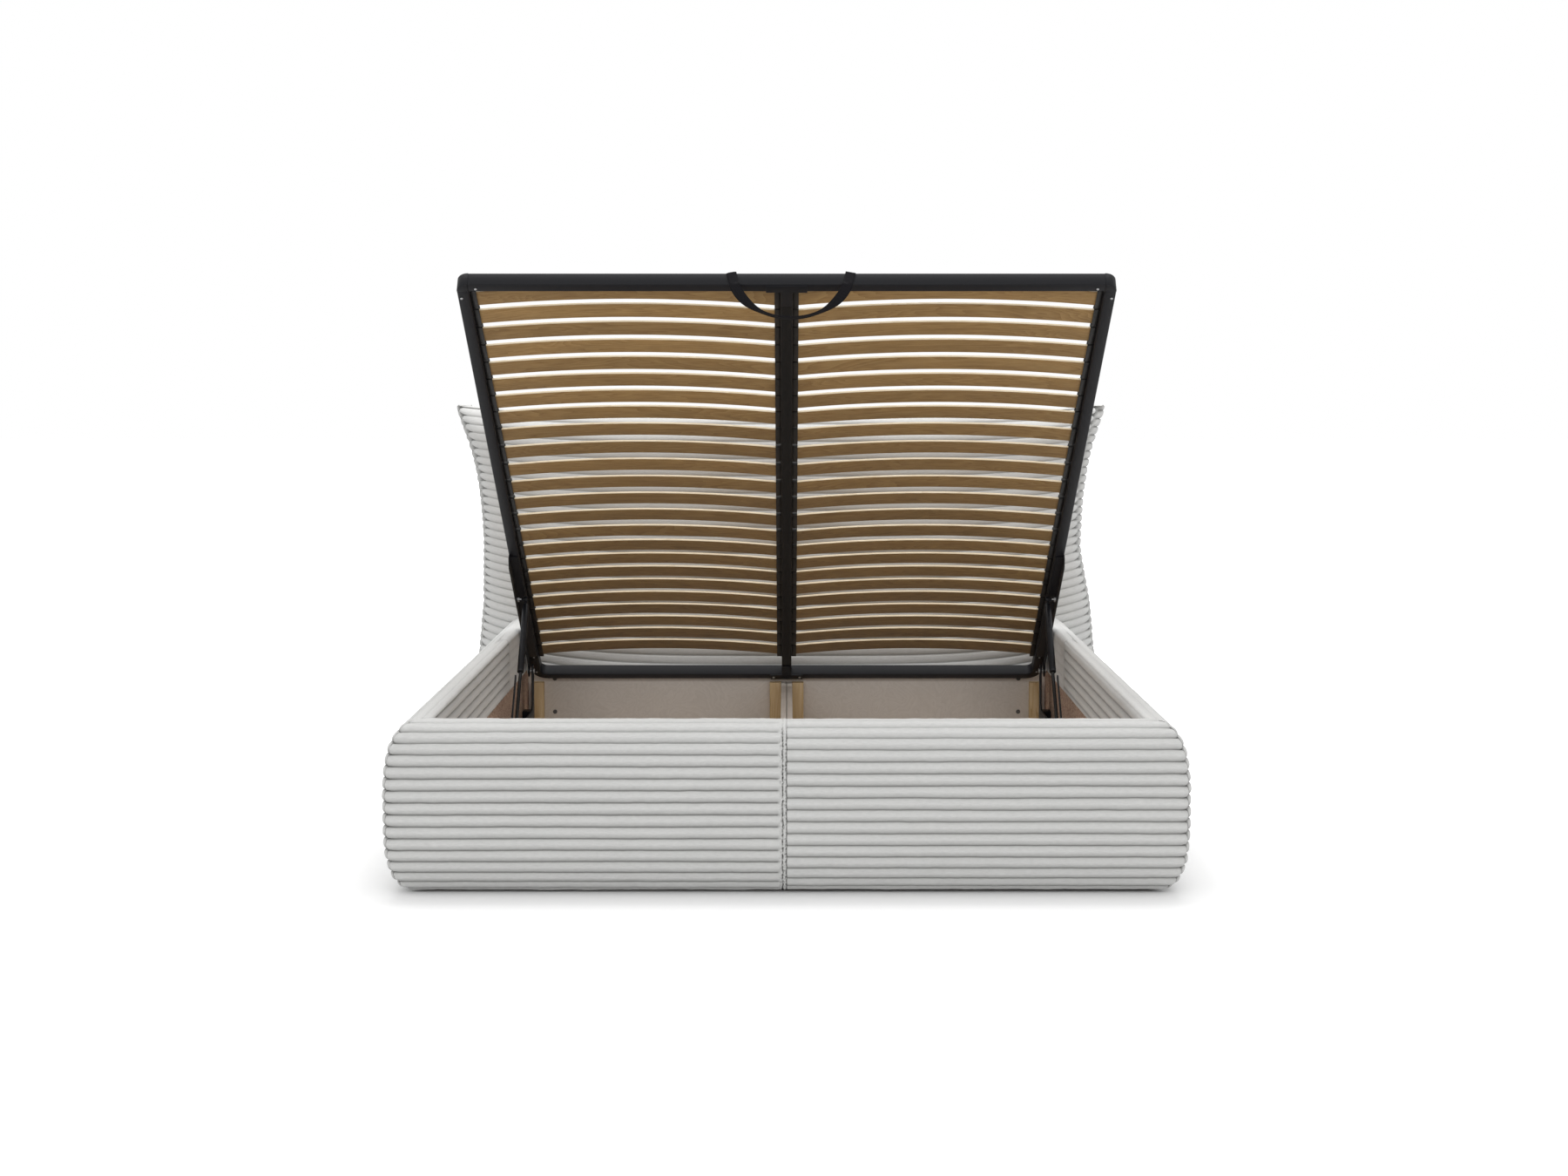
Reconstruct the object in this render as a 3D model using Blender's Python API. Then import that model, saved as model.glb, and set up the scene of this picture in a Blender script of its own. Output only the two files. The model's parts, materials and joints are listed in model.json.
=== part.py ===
"""Upholstered storage bed with a lift-up slatted frame, shown with the frame raised.

The bed is a padded box with a tall padded headboard. A steel frame with two
rows of sprung slats turns on two hinges near the headboard and is held up by
two gas struts, so that the two halves of the box below can be filled.
X runs to the right seen from the foot end, Y runs to the headboard, Z is up.
The origin is on the floor, under the middle of the bed's outer box.
"""
import math

import bmesh
import bpy
from mathutils import Matrix, Vector

# Driving dimensions, all in metres
mattress_width = 1.60
mattress_length = 2.00
lift_angle = math.radians(36.2)
gap = 0.0003
smooth_angle = math.radians(40)
side_play = 0.010
foot_play = 0.025
head_play = 0.040

# Padded walls of the box
wall_depth = 0.100
wall_top = 0.395
cover_bottom = 0.004
core_thickness = 0.022
core_setback = 0.008
core_bottom = 0.008
core_top = 0.375
flap_bottom = 0.245
inner_roll = 0.014
rib_pitch = 0.026
rib_depth = 0.0045
rib_steps = 4
upper_fullness = 3.2
lower_fullness = 3.0
corner_round_share = 0.30
corner_steps = 3
outline_steps = 60

# Headboard
headboard_thickness = 0.135
headboard_height = 1.034
waist_overhang = 0.036
waist_height = 0.56
foot_flare = 0.050
top_flare = 0.080
top_flare_power = 2.9
gusset_bulge = 0.009
headboard_rib_steps = 3
headboard_column_shares = (-1.0, -0.94, -0.78, -0.45, 0.45, 0.78, 0.94, 1.0)
headboard_crown_shares = (1.0, 0.10, 0.0, 0.0, 0.0, 0.0, 0.10, 1.0)
headboard_crown = 0.055
headboard_back_share = 0.985
top_roll_height = 0.100
top_roll_depth = 0.050
back_roll_depth = 0.022
rib_curl = 0.110
rib_curl_height = 0.200
tip_rise = 0.035
board_lap = 0.070
headboard_board_top = 0.960
back_sheet_thickness = 0.004

# Storage box
board_thickness = 0.016
divider_slit = 0.002
divider_top = 0.195
back_panel_top = 0.235
floor_panel_bottom = 0.030
floor_panel_thickness = 0.0045
ledger_width = 0.018
batten_width = 0.036
batten_depth = 0.030
batten_setback = 0.007
post_depth = 0.036
pad_thickness = 0.005
pad_inset = 0.003
glide_length = 0.060
glide_width = 0.020
glide_share = 0.8

# Slatted frame
tube_width = 0.029
tube_height = 0.035
tube_wall = 0.0015
tube_edge = 0.003
head_corner_radius = 0.050
head_leg_length = 0.060
head_corner_steps = 5
beam_width = 0.030
beam_height = 0.030
slat_width = 0.053
slat_thickness = 0.008
slat_bow = 0.021
slat_end_depth = 0.014
slat_segments = 6
first_slat_share = 0.07725
slat_zone_shares = ((9, 0.0366), (7, 0.04245), (8, 0.03655))
holder_reach = 0.012
holder_floor = 0.003
holder_lip = 0.0025
holder_gap = 0.0005
holder_root = 0.001
plate_thickness = 0.003
plate_half_width = 0.050
plate_stem_half = 0.014
plate_stem_length = 0.055

# Pull strap
strap_half_span = 0.142
strap_sag = 0.066
strap_width = 0.025
strap_thickness = 0.002
strap_top_inset = 0.004
strap_clearance = 0.001
strap_turn = math.radians(50)
strap_half_steps = 10

# Lift mechanism: the hinge and both ends of the struts
hinge_setback = 0.125
hinge_drop = 0.075
frame_top = 0.323
strut_pin_reach = 0.520
strut_pin_drop = 0.050
anchor_setback = 0.655
anchor_drop = 0.138
strut_inset = 0.030
arm_thickness = 0.003
arm_depth = 0.035
arm_flange_width = 0.025
arm_end_reach = 0.750
arm_start_reach = 0.150
arm_chamfer = 0.020
arm_lobe = 0.018
hinge_pin_radius = 0.004
hinge_hole_radius = 0.0043
hinge_head_radius = 0.008
hinge_head_height = 0.004
hinge_shoulder_radius = 0.007
bracket_inset = 0.0145
bracket_thickness = 0.004
bracket_bar = 0.040
spacer_length = 0.050
spacer_height = 0.030
spacer_inset = 0.070
overrun = 0.002
cylinder_radius = 0.010
cylinder_length = 0.240
cylinder_end_wall = 0.005
rod_radius = 0.005
rod_play = 0.0004
eye_radius = 0.009
eye_thickness = 0.008
eye_reach = 0.020
stud_radius = 0.004
stud_head_radius = 0.006
stay_length = 0.255
stay_width = 0.014
stay_thickness = 0.0040
stay_offset = 0.0110
round_steps = 16
arc_steps = 8
weld_distance = 0.00002

# Places that follow from the sizes above
rail_x = mattress_width / 2 + side_play
half_length = (wall_depth + foot_play + mattress_length + head_play + headboard_thickness) / 2
foot_y = -half_length + wall_depth
headboard_y = half_length - headboard_thickness
core_outer = core_setback + core_thickness
frame_head_y = headboard_y - head_play
hinge = Vector((0, frame_head_y - hinge_setback, frame_top - hinge_drop))
strut_anchor = Vector((0, hinge.y - anchor_setback, hinge.z - anchor_drop))
strut_x = mattress_width / 2 - strut_inset
bracket_x = mattress_width / 2 - bracket_inset
batten_outer_x = rail_x - batten_setback
headboard_waist = rail_x + wall_depth + waist_overhang
headboard_board_half = rail_x + board_lap
divider_half = board_thickness + divider_slit / 2
box_foot_y = foot_y - core_setback + gap
box_head_y = headboard_y - gap - board_thickness - gap
floor_top = floor_panel_bottom + floor_panel_thickness
holder_length = min(share for _, share in slat_zone_shares) * mattress_length - holder_gap

FABRIC = ((0.62, 0.62, 0.60), 0.95, 0.0)
PINE = ((0.60, 0.43, 0.24), 0.60, 0.0)
CHIPBOARD = ((0.36, 0.24, 0.17), 0.80, 0.0)
PANEL = ((0.50, 0.47, 0.44), 0.55, 0.0)
BEECH = ((0.46, 0.29, 0.11), 0.50, 0.0)
BLACK_STEEL = ((0.015, 0.016, 0.022), 0.42, 0.0)
BARE_STEEL = ((0.60, 0.61, 0.62), 0.28, 1.0)
BLACK_PLASTIC = ((0.02, 0.02, 0.02), 0.50, 0.0)
RUBBER = ((0.03, 0.03, 0.03), 0.80, 0.0)
WEBBING = ((0.012, 0.012, 0.014), 0.90, 0.0)

SIDES = ((-1, "left"), (1, "right"))


def clear_scene():
    for old in list(bpy.data.objects):
        bpy.data.objects.remove(old, do_unlink=True)


def finish(name, look):
    colour, roughness, metallic = look
    material = bpy.data.materials.new(name + "_finish")
    material.use_nodes = True
    shader = material.node_tree.nodes["Principled BSDF"]
    shader.inputs["Base Color"].default_value = (*colour, 1.0)
    shader.inputs["Roughness"].default_value = roughness
    shader.inputs["Metallic"].default_value = metallic
    return material


def add(name, bm, look, parent=None, smooth=False):
    """Turn a bmesh into one named node with its own finish."""
    bmesh.ops.recalc_face_normals(bm, faces=bm.faces)
    if bm.calc_volume(signed=True) < 0:
        bmesh.ops.reverse_faces(bm, faces=bm.faces)
    mesh = bpy.data.meshes.new(name)
    bm.to_mesh(mesh)
    bm.free()
    mesh.materials.append(finish(name, look))
    if smooth:
        mesh.shade_smooth()
        mesh.set_sharp_from_angle(angle=smooth_angle)
    piece = bpy.data.objects.new(name, mesh)
    bpy.context.scene.collection.objects.link(piece)
    piece.parent = parent
    return piece


def pivot(name, place, tilt):
    """An empty on a joint's axis, turned about X."""
    empty = bpy.data.objects.new(name, None)
    empty.location = place
    empty.rotation_euler = (tilt, 0, 0)
    bpy.context.scene.collection.objects.link(empty)
    return empty


def combine(piece, other, operation):
    """Join or cut a piece with a helper mesh, which is only a guide and isn't rendered."""
    modifier = piece.modifiers.new(operation.lower(), "BOOLEAN")
    modifier.operation = operation
    modifier.solver = "EXACT"
    modifier.object = other
    other.hide_render = True
    other.display_type = "WIRE"


def block(bm, low, high):
    """A plain box between two corners."""
    ring = [(low[0], low[1]), (high[0], low[1]), (high[0], high[1]), (low[0], high[1])]
    loft(bm, [[Vector((x, y, z)) for x, y in ring] for z in (low[2], high[2])])


def side_block(bm, side, low, high):
    """A box given for the right-hand side, placed on either side."""
    near, far = sorted((side * low[0], side * high[0]))
    block(bm, (near, low[1], low[2]), (far, high[1], high[2]))


def skin(bm, rings):
    """Rows of vertices joined by quads, each row a closed loop."""
    rows = [[bm.verts.new(point) for point in ring] for ring in rings]
    for row, following in zip(rows, rows[1:]):
        for k in range(len(row)):
            j = (k + 1) % len(row)
            bm.faces.new((row[k], row[j], following[j], following[k]))
    return rows


def loft(bm, rings):
    """A closed body through the rings, with a flat face at each end."""
    rows = skin(bm, rings)
    bm.faces.new(list(reversed(rows[0])))
    bm.faces.new(rows[-1])


def prism(bm, outline, side, near, far):
    """An outline in Y and Z, given thickness along X on one side of the bed."""
    loft(bm, [[Vector((side * x, y, z)) for y, z in outline] for x in (near, far)])


def turned(bm, profile, origin, axis):
    """A round body: (distance along the axis, radius) pairs turned about it."""
    axis = axis.normalized()
    across = axis.orthogonal().normalized()
    upward = axis.cross(across)
    rings = []
    for distance, radius in profile:
        ring = []
        for k in range(round_steps):
            angle = 2 * math.pi * k / round_steps
            ring.append(origin + axis * distance
                        + (across * math.cos(angle) + upward * math.sin(angle)) * radius)
        rings.append(ring)
    loft(bm, rings)


def arc(centre, radius, start, end, steps=arc_steps):
    """Points on an arc in the plane of an outline, angles in degrees."""
    points = []
    for k in range(steps + 1):
        angle = math.radians(start + (end - start) * k / steps)
        points.append((centre[0] + radius * math.cos(angle), centre[1] + radius * math.sin(angle)))
    return points


def ribbed(path, pitch, depth, steps):
    """Walk along a smooth path and press a groove between every two ribs."""
    lengths = [0]
    for a, b in zip(path, path[1:]):
        lengths.append(lengths[-1] + math.dist(a, b))
    count = round(lengths[-1] / pitch)
    points = []
    segment = 0
    for k in range(count * steps + 1):
        target = lengths[-1] * k / (count * steps)
        while segment < len(path) - 2 and lengths[segment + 1] < target:
            segment += 1
        a, b = path[segment], path[segment + 1]
        span = lengths[segment + 1] - lengths[segment]
        share = (target - lengths[segment]) / span
        inward = ((b[1] - a[1]) / span, (a[0] - b[0]) / span)
        inset = depth * (1 - math.sin(math.pi * (k % steps) / steps))
        points.append((a[0] + (b[0] - a[0]) * share + inward[0] * inset,
                       a[1] + (b[1] - a[1]) * share + inward[1] * inset))
    return points


def wall_section():
    """Section of a padded wall: (distance out from the inner face, height)."""
    lap = core_outer + gap
    middle = (wall_top + cover_bottom) / 2
    half = (wall_top - cover_bottom) / 2
    path = [(0, flap_bottom)]
    path += arc((inner_roll, wall_top - inner_roll), inner_roll, 180, 90)
    for k in range(outline_steps + 1):
        angle = math.pi / 2 - math.pi * k / outline_steps
        fullness = upper_fullness if angle > 0 else lower_fullness
        height = math.copysign(abs(math.sin(angle)) ** (2 / fullness), angle)
        path.append((lap + (wall_depth - lap) * math.cos(angle), middle + half * height))
    section = ribbed(path, rib_pitch, rib_depth, rib_steps)
    section.append((lap, core_top + gap))
    section.append((core_setback - gap, core_top + gap))
    section.append((core_setback - gap, flap_bottom))
    return section


def corner_ring(section, side, angle, shift):
    """The section at one angle of the corner: 0 is the footboard, 90 the side rail."""
    ring = []
    turn = math.radians(angle)
    for out, height in section:
        radius = max(0, out - core_outer - gap) * corner_round_share
        centre = out - radius
        x = rail_x + centre + radius * math.sin(turn) + shift
        y = foot_y - centre - radius * math.cos(turn) + shift
        ring.append(Vector((side * x, y, height)))
    return ring


def wall_covers():
    """Cord covers: two halves on the footboard and one on each side rail."""
    section = wall_section()
    seam = gap / 2
    angles = [45 * k / corner_steps for k in range(corner_steps + 1)]
    for side, word in SIDES:
        rings = [[Vector((side * seam, foot_y - out, height)) for out, height in section]]
        for angle in angles:
            rings.append(corner_ring(section, side, angle, -seam if angle == angles[-1] else 0))
        soft_body("footboard_cover_" + word, rings)
        rings = []
        for angle in reversed(angles):
            rings.append(corner_ring(section, side, 90 - angle, seam if angle == angles[-1] else 0))
        rings.append([Vector((side * (rail_x + out), headboard_y - gap, height)) for out, height in section])
        soft_body("side_rail_cover_" + word, rings)


def soft_body(name, rings):
    """Loft a cover whose corner rings may share points on their inner side."""
    bm = bmesh.new()
    loft(bm, rings)
    bmesh.ops.remove_doubles(bm, verts=bm.verts, dist=weld_distance)
    bmesh.ops.dissolve_degenerate(bm, edges=bm.edges, dist=weld_distance)
    add(name, bm, FABRIC, smooth=True)


def wall_cores():
    """Boards inside the padded walls."""
    bm = bmesh.new()
    block(bm, (-rail_x - core_outer, foot_y - core_outer, core_bottom),
          (rail_x + core_outer, foot_y - core_setback, core_top))
    add("footboard_core", bm, CHIPBOARD)
    for side, word in SIDES:
        bm = bmesh.new()
        side_block(bm, side, (rail_x + core_setback, box_foot_y, core_bottom),
                   (rail_x + core_outer, headboard_y - gap, core_top))
        add("side_rail_core_" + word, bm, CHIPBOARD)


def headboard_half_width(height):
    below = max(0, waist_height - height) / waist_height
    above = max(0, height - waist_height) / (headboard_height - waist_height)
    return headboard_waist + foot_flare * below + top_flare * above ** top_flare_power


def headboard_ring(height, inset):
    """One level of the headboard cushion, front from left to right, then the back."""
    half = headboard_half_width(height)
    roll = max(0, height - headboard_height + top_roll_height) / top_roll_height
    settle = min(1, (height - cover_bottom) / rib_curl_height)
    level = height / headboard_height
    curl = rib_curl * settle ** 2 * (1 - level) + tip_rise * level ** 2
    back = half_length - back_roll_depth * roll ** 2
    ring = []
    for column, crown in zip(headboard_column_shares, headboard_crown_shares):
        ring.append(Vector((column * (half - inset),
                            headboard_y + inset + headboard_crown * crown + top_roll_depth * roll ** 2,
                            height + curl * column ** 4)))
    middle = (ring[-1].y + back) / 2
    ring.append(Vector((half + gusset_bulge - inset, middle, height + curl)))
    for share in (headboard_back_share, -headboard_back_share):
        ring.append(Vector((share * half, back, height + curl)))
    ring.append(Vector((inset - half - gusset_bulge, middle, height + curl)))
    return ring


def headboard():
    """Cord cushion with a board let into its back, closed by a cloth sheet."""
    count = round((headboard_height - cover_bottom) / rib_pitch) * headboard_rib_steps
    rings = []
    for k in range(count + 1):
        inset = rib_depth * (1 - math.sin(math.pi * (k % headboard_rib_steps) / headboard_rib_steps))
        rings.append(headboard_ring(cover_bottom + (headboard_height - cover_bottom) * k / count, inset))
    bm = bmesh.new()
    loft(bm, rings)
    cushion = add("headboard_cushion", bm, FABRIC, smooth=True)

    board_back = half_length - back_sheet_thickness - gap
    board_front = board_back - core_thickness
    bm = bmesh.new()
    block(bm, (-headboard_board_half - gap, board_front - gap, -overrun),
          (headboard_board_half + gap, half_length + overrun, headboard_board_top + gap))
    combine(cushion, add("headboard_pocket_cutter", bm, CHIPBOARD), "DIFFERENCE")

    bm = bmesh.new()
    block(bm, (-headboard_board_half, board_front, core_bottom),
          (headboard_board_half, board_back, headboard_board_top))
    add("headboard_board", bm, CHIPBOARD)
    bm = bmesh.new()
    block(bm, (-headboard_board_half, board_back + gap, core_bottom),
          (headboard_board_half, half_length, headboard_board_top))
    add("headboard_back_sheet", bm, FABRIC)


def upright(name, look, side, low, high):
    """One board, batten or pad: a box on one side of the bed, as its own node."""
    bm = bmesh.new()
    side_block(bm, side, low, high)
    add(name, bm, look)


def storage_box():
    """Divider, end panels, floor panels and the ledgers under them."""
    board_x = rail_x + core_setback - gap
    for side, word in SIDES:
        upright("divider_board_" + word, PANEL, side, (divider_slit / 2, box_foot_y, core_bottom),
                (divider_half, box_head_y, divider_top))
        upright("back_panel_" + word, PANEL, side, (gap / 2, box_head_y + gap, core_bottom),
                (board_x, headboard_y - gap, back_panel_top))
        upright("floor_panel_" + word, PANEL, side, (divider_half + gap, box_foot_y, floor_panel_bottom),
                (board_x, box_head_y, floor_top))
        for near, place in ((divider_half + gap, "inner_"), (board_x - ledger_width, "outer_")):
            upright("floor_ledger_" + place + word, PINE, side, (near, box_foot_y, core_bottom),
                    (near + ledger_width, box_head_y, floor_panel_bottom - gap))


def battens():
    """Battens in the corners of the two compartments."""
    low = floor_top + gap
    for side, word in SIDES:
        for near, place in ((divider_half + gap, "inner_"), (batten_outer_x - batten_width, "outer_")):
            upright("head_batten_" + place + word, PINE, side, (near, box_head_y - batten_depth, low),
                    (near + batten_width, box_head_y, divider_top))
        near = divider_half + gap
        upright("foot_batten_" + word, PINE, side, (near, box_foot_y, low),
                (near + batten_width, box_foot_y + batten_depth, divider_top))


def rests():
    """Posts at the foot end, with rubber pads that the lowered frame rests on, and floor glides."""
    near_x = batten_outer_x - batten_width
    near_y = foot_y + gap
    far_y = near_y + post_depth
    pad_top = frame_top - tube_height - gap
    pad_bottom = pad_top - pad_thickness
    glide_top = core_bottom - gap
    core_middle = rail_x + (core_setback + core_outer) / 2
    board_middle = half_length - back_sheet_thickness - gap - core_thickness / 2
    for side, word in SIDES:
        upright("foot_post_" + word, PINE, side, (near_x, near_y, floor_top + gap),
                (batten_outer_x, far_y, pad_bottom - gap))
        upright("rest_pad_" + word, RUBBER, side, (near_x + pad_inset, near_y + pad_inset, pad_bottom),
                (batten_outer_x - pad_inset, far_y - pad_inset, pad_top))
        for share, place in ((-glide_share, "foot_"), (glide_share, "head_")):
            middle = share * half_length
            upright("glide_" + place + word, BLACK_PLASTIC, side,
                    (core_middle - glide_width / 2, middle - glide_length / 2, 0),
                    (core_middle + glide_width / 2, middle + glide_length / 2, glide_top))
        upright("glide_headboard_" + word, BLACK_PLASTIC, side,
                (headboard_board_half - glide_length, board_middle - glide_width / 2, 0),
                (headboard_board_half, board_middle + glide_width / 2, glide_top))


def on_frame(x, reach, depth):
    """A place on the lying frame: across, along from its head end, below its top."""
    return Vector((x, hinge_setback - reach, hinge_drop - depth))


def chamfered_rectangle(width, height, cut):
    half_w = width / 2
    half_h = height / 2
    return [(half_w - cut, half_h), (half_w, half_h - cut), (half_w, cut - half_h), (half_w - cut, -half_h),
            (cut - half_w, -half_h), (-half_w, cut - half_h), (-half_w, half_h - cut), (cut - half_w, half_h)]


def hollow_tube(bm, stations, width, height):
    """A rectangular tube, open at both ends, along stations (centre, outward, up)."""
    walls = []
    for inset in (0, tube_wall):
        section = chamfered_rectangle(width - 2 * inset, height - 2 * inset, tube_edge - inset)
        rings = []
        for centre, outward, upward in stations:
            rings.append([centre + outward * out + upward * up for out, up in section])
        walls.append(skin(bm, rings))
    for end in (0, -1):
        outer, inner = walls[0][end], walls[1][end]
        for k in range(len(outer)):
            j = (k + 1) % len(outer)
            bm.faces.new((outer[k], outer[j], inner[j], inner[k]))


def frame_tubes(lift):
    """A head tube bent at its corners, a foot tube with its corner caps, and the centre beam."""
    up = Vector((0, 0, 1))
    half_width = mattress_width / 2
    middle_x = half_width - tube_width / 2
    middle_depth = tube_height / 2
    foot_reach = mattress_length - tube_width
    for side, word in SIDES:
        bm = bmesh.new()
        corner = (half_width - tube_width, foot_reach)
        outline = [corner] + arc(corner, tube_width, 0, 90)
        loft(bm, [[on_frame(side * x, reach, depth) for x, reach in outline] for depth in (0, tube_height)])
        add("foot_corner_" + word, bm, BLACK_STEEL, lift, smooth=True)

    bm = bmesh.new()
    bend = head_corner_radius - tube_width / 2
    bend_x = half_width - head_corner_radius
    stations = []
    for side in (-1, 1):
        turn = [(on_frame(side * middle_x, head_leg_length, middle_depth), Vector((side, 0, 0)), up)]
        for k in range(head_corner_steps + 1):
            angle = math.pi / 2 * k / head_corner_steps
            outward = Vector((side * math.cos(angle), math.sin(angle), 0))
            centre = on_frame(side * bend_x, head_corner_radius, middle_depth)
            turn.append((centre + outward * bend, outward, up))
        stations += turn if side < 0 else reversed(turn)
    hollow_tube(bm, stations, tube_width, tube_height)
    add("head_tube", bm, BLACK_STEEL, lift)

    bm = bmesh.new()
    outward = Vector((0, -1, 0))
    end_x = half_width - tube_width - gap
    reach = mattress_length - tube_width / 2
    hollow_tube(bm, [(on_frame(x, reach, middle_depth), outward, up) for x in (-end_x, end_x)],
                tube_width, tube_height)
    add("foot_tube", bm, BLACK_STEEL, lift)


def beam_plates(lift):
    """T-shaped plates under the frame that tie the centre beam to the end tubes."""
    for name, end, inward in (("beam_head_plate", 0, 1), ("beam_foot_plate", mattress_length, -1)):
        near = end + inward * tube_edge
        inner = end + inward * tube_width
        tip = inner + inward * plate_stem_length
        outline = [(-plate_half_width, near), (plate_half_width, near), (plate_half_width, inner),
                   (plate_stem_half, inner), (plate_stem_half, tip), (-plate_stem_half, tip),
                   (-plate_stem_half, inner), (-plate_half_width, inner)]
        bm = bmesh.new()
        top = tube_height + gap
        loft(bm, [[on_frame(x, reach, depth) for x, reach in outline] for depth in (top, top + plate_thickness)])
        add(name, bm, BLACK_STEEL, lift)


def slat_reaches():
    """Where each slat's middle lies, from the head end to the foot end."""
    share = first_slat_share
    previous = None
    middles = []
    for count, pitch_share in slat_zone_shares:
        for _ in range(count):
            if previous is not None:
                share += (previous + pitch_share) / 2
            previous = pitch_share
            middles.append(share * mattress_length)
    return middles


def slat_ends():
    """How far a slat reaches: from its seat near the beam into the cap on the side tube."""
    return (beam_width / 2 + holder_floor + gap, mattress_width / 2 - tube_width - holder_floor)


def slat_shapes(side):
    """Bowed wooden slats of one column, each a closed shape of its own."""
    near, far = slat_ends()
    bm = bmesh.new()
    for middle in slat_reaches():
        rings = []
        for k in range(slat_segments + 1):
            share = 2 * k / slat_segments - 1
            x = side * (near + far + share * (far - near)) / 2
            top = slat_end_depth - slat_thickness / 2 - slat_bow * (1 - share ** 2)
            rings.append([on_frame(x, middle + along * slat_width / 2, top + down * slat_thickness)
                          for along, down in ((-1, 0), (1, 0), (1, 1), (-1, 1))])
        loft(bm, rings)
    return bm


def slat_banks(lift):
    """Each side tube with the end caps and the slats that it carries."""
    middle_x = (mattress_width - tube_width) / 2
    inner = mattress_width / 2 - tube_width
    top, bottom = holder_depths()
    reaches = (head_leg_length + gap, mattress_length - tube_width - gap)
    for side, word in SIDES:
        bm = bmesh.new()
        stations = [(on_frame(side * middle_x, reach, tube_height / 2), Vector((side, 0, 0)), Vector((0, 0, 1)))
                    for reach in reaches]
        hollow_tube(bm, stations, tube_width, tube_height)
        bank = add("slat_bank_" + word, bm, BEECH, lift)
        bm = bmesh.new()
        for middle in slat_reaches():
            low = on_frame(inner - holder_floor - holder_reach, middle + holder_length / 2, bottom)
            high = on_frame(inner + holder_root, middle - holder_length / 2, top)
            side_block(bm, side, low, high)
        combine(bank, add("end_caps_" + word, bm, BEECH, lift), "UNION")
        combine(bank, add("slat_column_" + word, slat_shapes(side), BEECH, lift), "UNION")


def holder_depths():
    """Top and bottom of a slat's holder, below the frame's top."""
    near, far = slat_ends()
    rise = 4 * slat_bow / (far - near) * holder_reach
    return (slat_end_depth - slat_thickness / 2 - rise - gap - holder_lip,
            slat_end_depth + slat_thickness / 2 + gap + holder_lip)


def centre_beam(lift):
    """Beam down the middle with a row of channel-shaped slat holders on each side."""
    bm = bmesh.new()
    depth = tube_height - beam_height / 2
    reaches = (tube_width + gap, mattress_length - tube_width - gap)
    stations = [(on_frame(0, reach, depth), Vector((1, 0, 0)), Vector((0, 0, 1))) for reach in reaches]
    hollow_tube(bm, stations, beam_width, beam_height)
    beam = add("centre_beam", bm, BLACK_STEEL, lift)
    top, bottom = holder_depths()
    root = beam_width / 2 - holder_root
    floor = beam_width / 2 + holder_floor
    mouth = floor + holder_reach
    outline = [(root, bottom), (mouth, bottom), (mouth, bottom - holder_lip), (floor, bottom - holder_lip),
               (floor, top + holder_lip), (mouth, top + holder_lip), (mouth, top), (root, top)]
    for side, word in SIDES:
        bm = bmesh.new()
        for middle in slat_reaches():
            loft(bm, [[on_frame(side * x, middle + end * holder_length / 2, depth) for x, depth in outline]
                      for end in (-1, 1)])
        combine(beam, add("holder_row_" + word, bm, BLACK_PLASTIC, lift), "UNION")


def strap_stations():
    """Centre, width direction and thickness direction along the strap, left end to right end."""
    across = Vector((1, 0, 0))
    down = Vector((0, math.sin(lift_angle), -math.cos(lift_angle)))
    forward = down.cross(across)
    face = mattress_length + gap + strap_thickness / 2
    half = []
    for depth in (strap_top_inset, tube_height):
        half.append((on_frame(-strap_half_span, face, depth), across, Vector((0, -1, 0))))
    start = on_frame(0, face, tube_height + strap_clearance + strap_thickness / 2)
    for k in range(strap_half_steps + 1):
        angle = math.pi / 2 * k / strap_half_steps
        place = start - across * strap_half_span * math.cos(angle) + down * strap_sag * math.sin(angle)
        along = (across * strap_half_span * math.sin(angle) + down * strap_sag * math.cos(angle)).normalized()
        turned_share = min(1, angle / strap_turn)
        turn = math.pi / 2 * turned_share ** 2 * (3 - 2 * turned_share)
        width = forward.cross(along) * math.cos(turn) + forward * math.sin(turn)
        half.append((place, width, along.cross(width)))
    flip = Matrix.Diagonal((-1, 1, 1))
    return half + [(flip @ place, flip @ width, flip @ thick) for place, width, thick in reversed(half[:-1])]


def pull_strap(lift):
    bm = bmesh.new()
    rings = []
    for place, width, thick in strap_stations():
        half_w = width * strap_width / 2
        half_t = thick * strap_thickness / 2
        rings.append([place - half_w - half_t, place + half_w - half_t, place + half_w + half_t,
                      place - half_w + half_t])
    loft(bm, rings)
    add("pull_strap", bm, WEBBING, lift)


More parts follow.
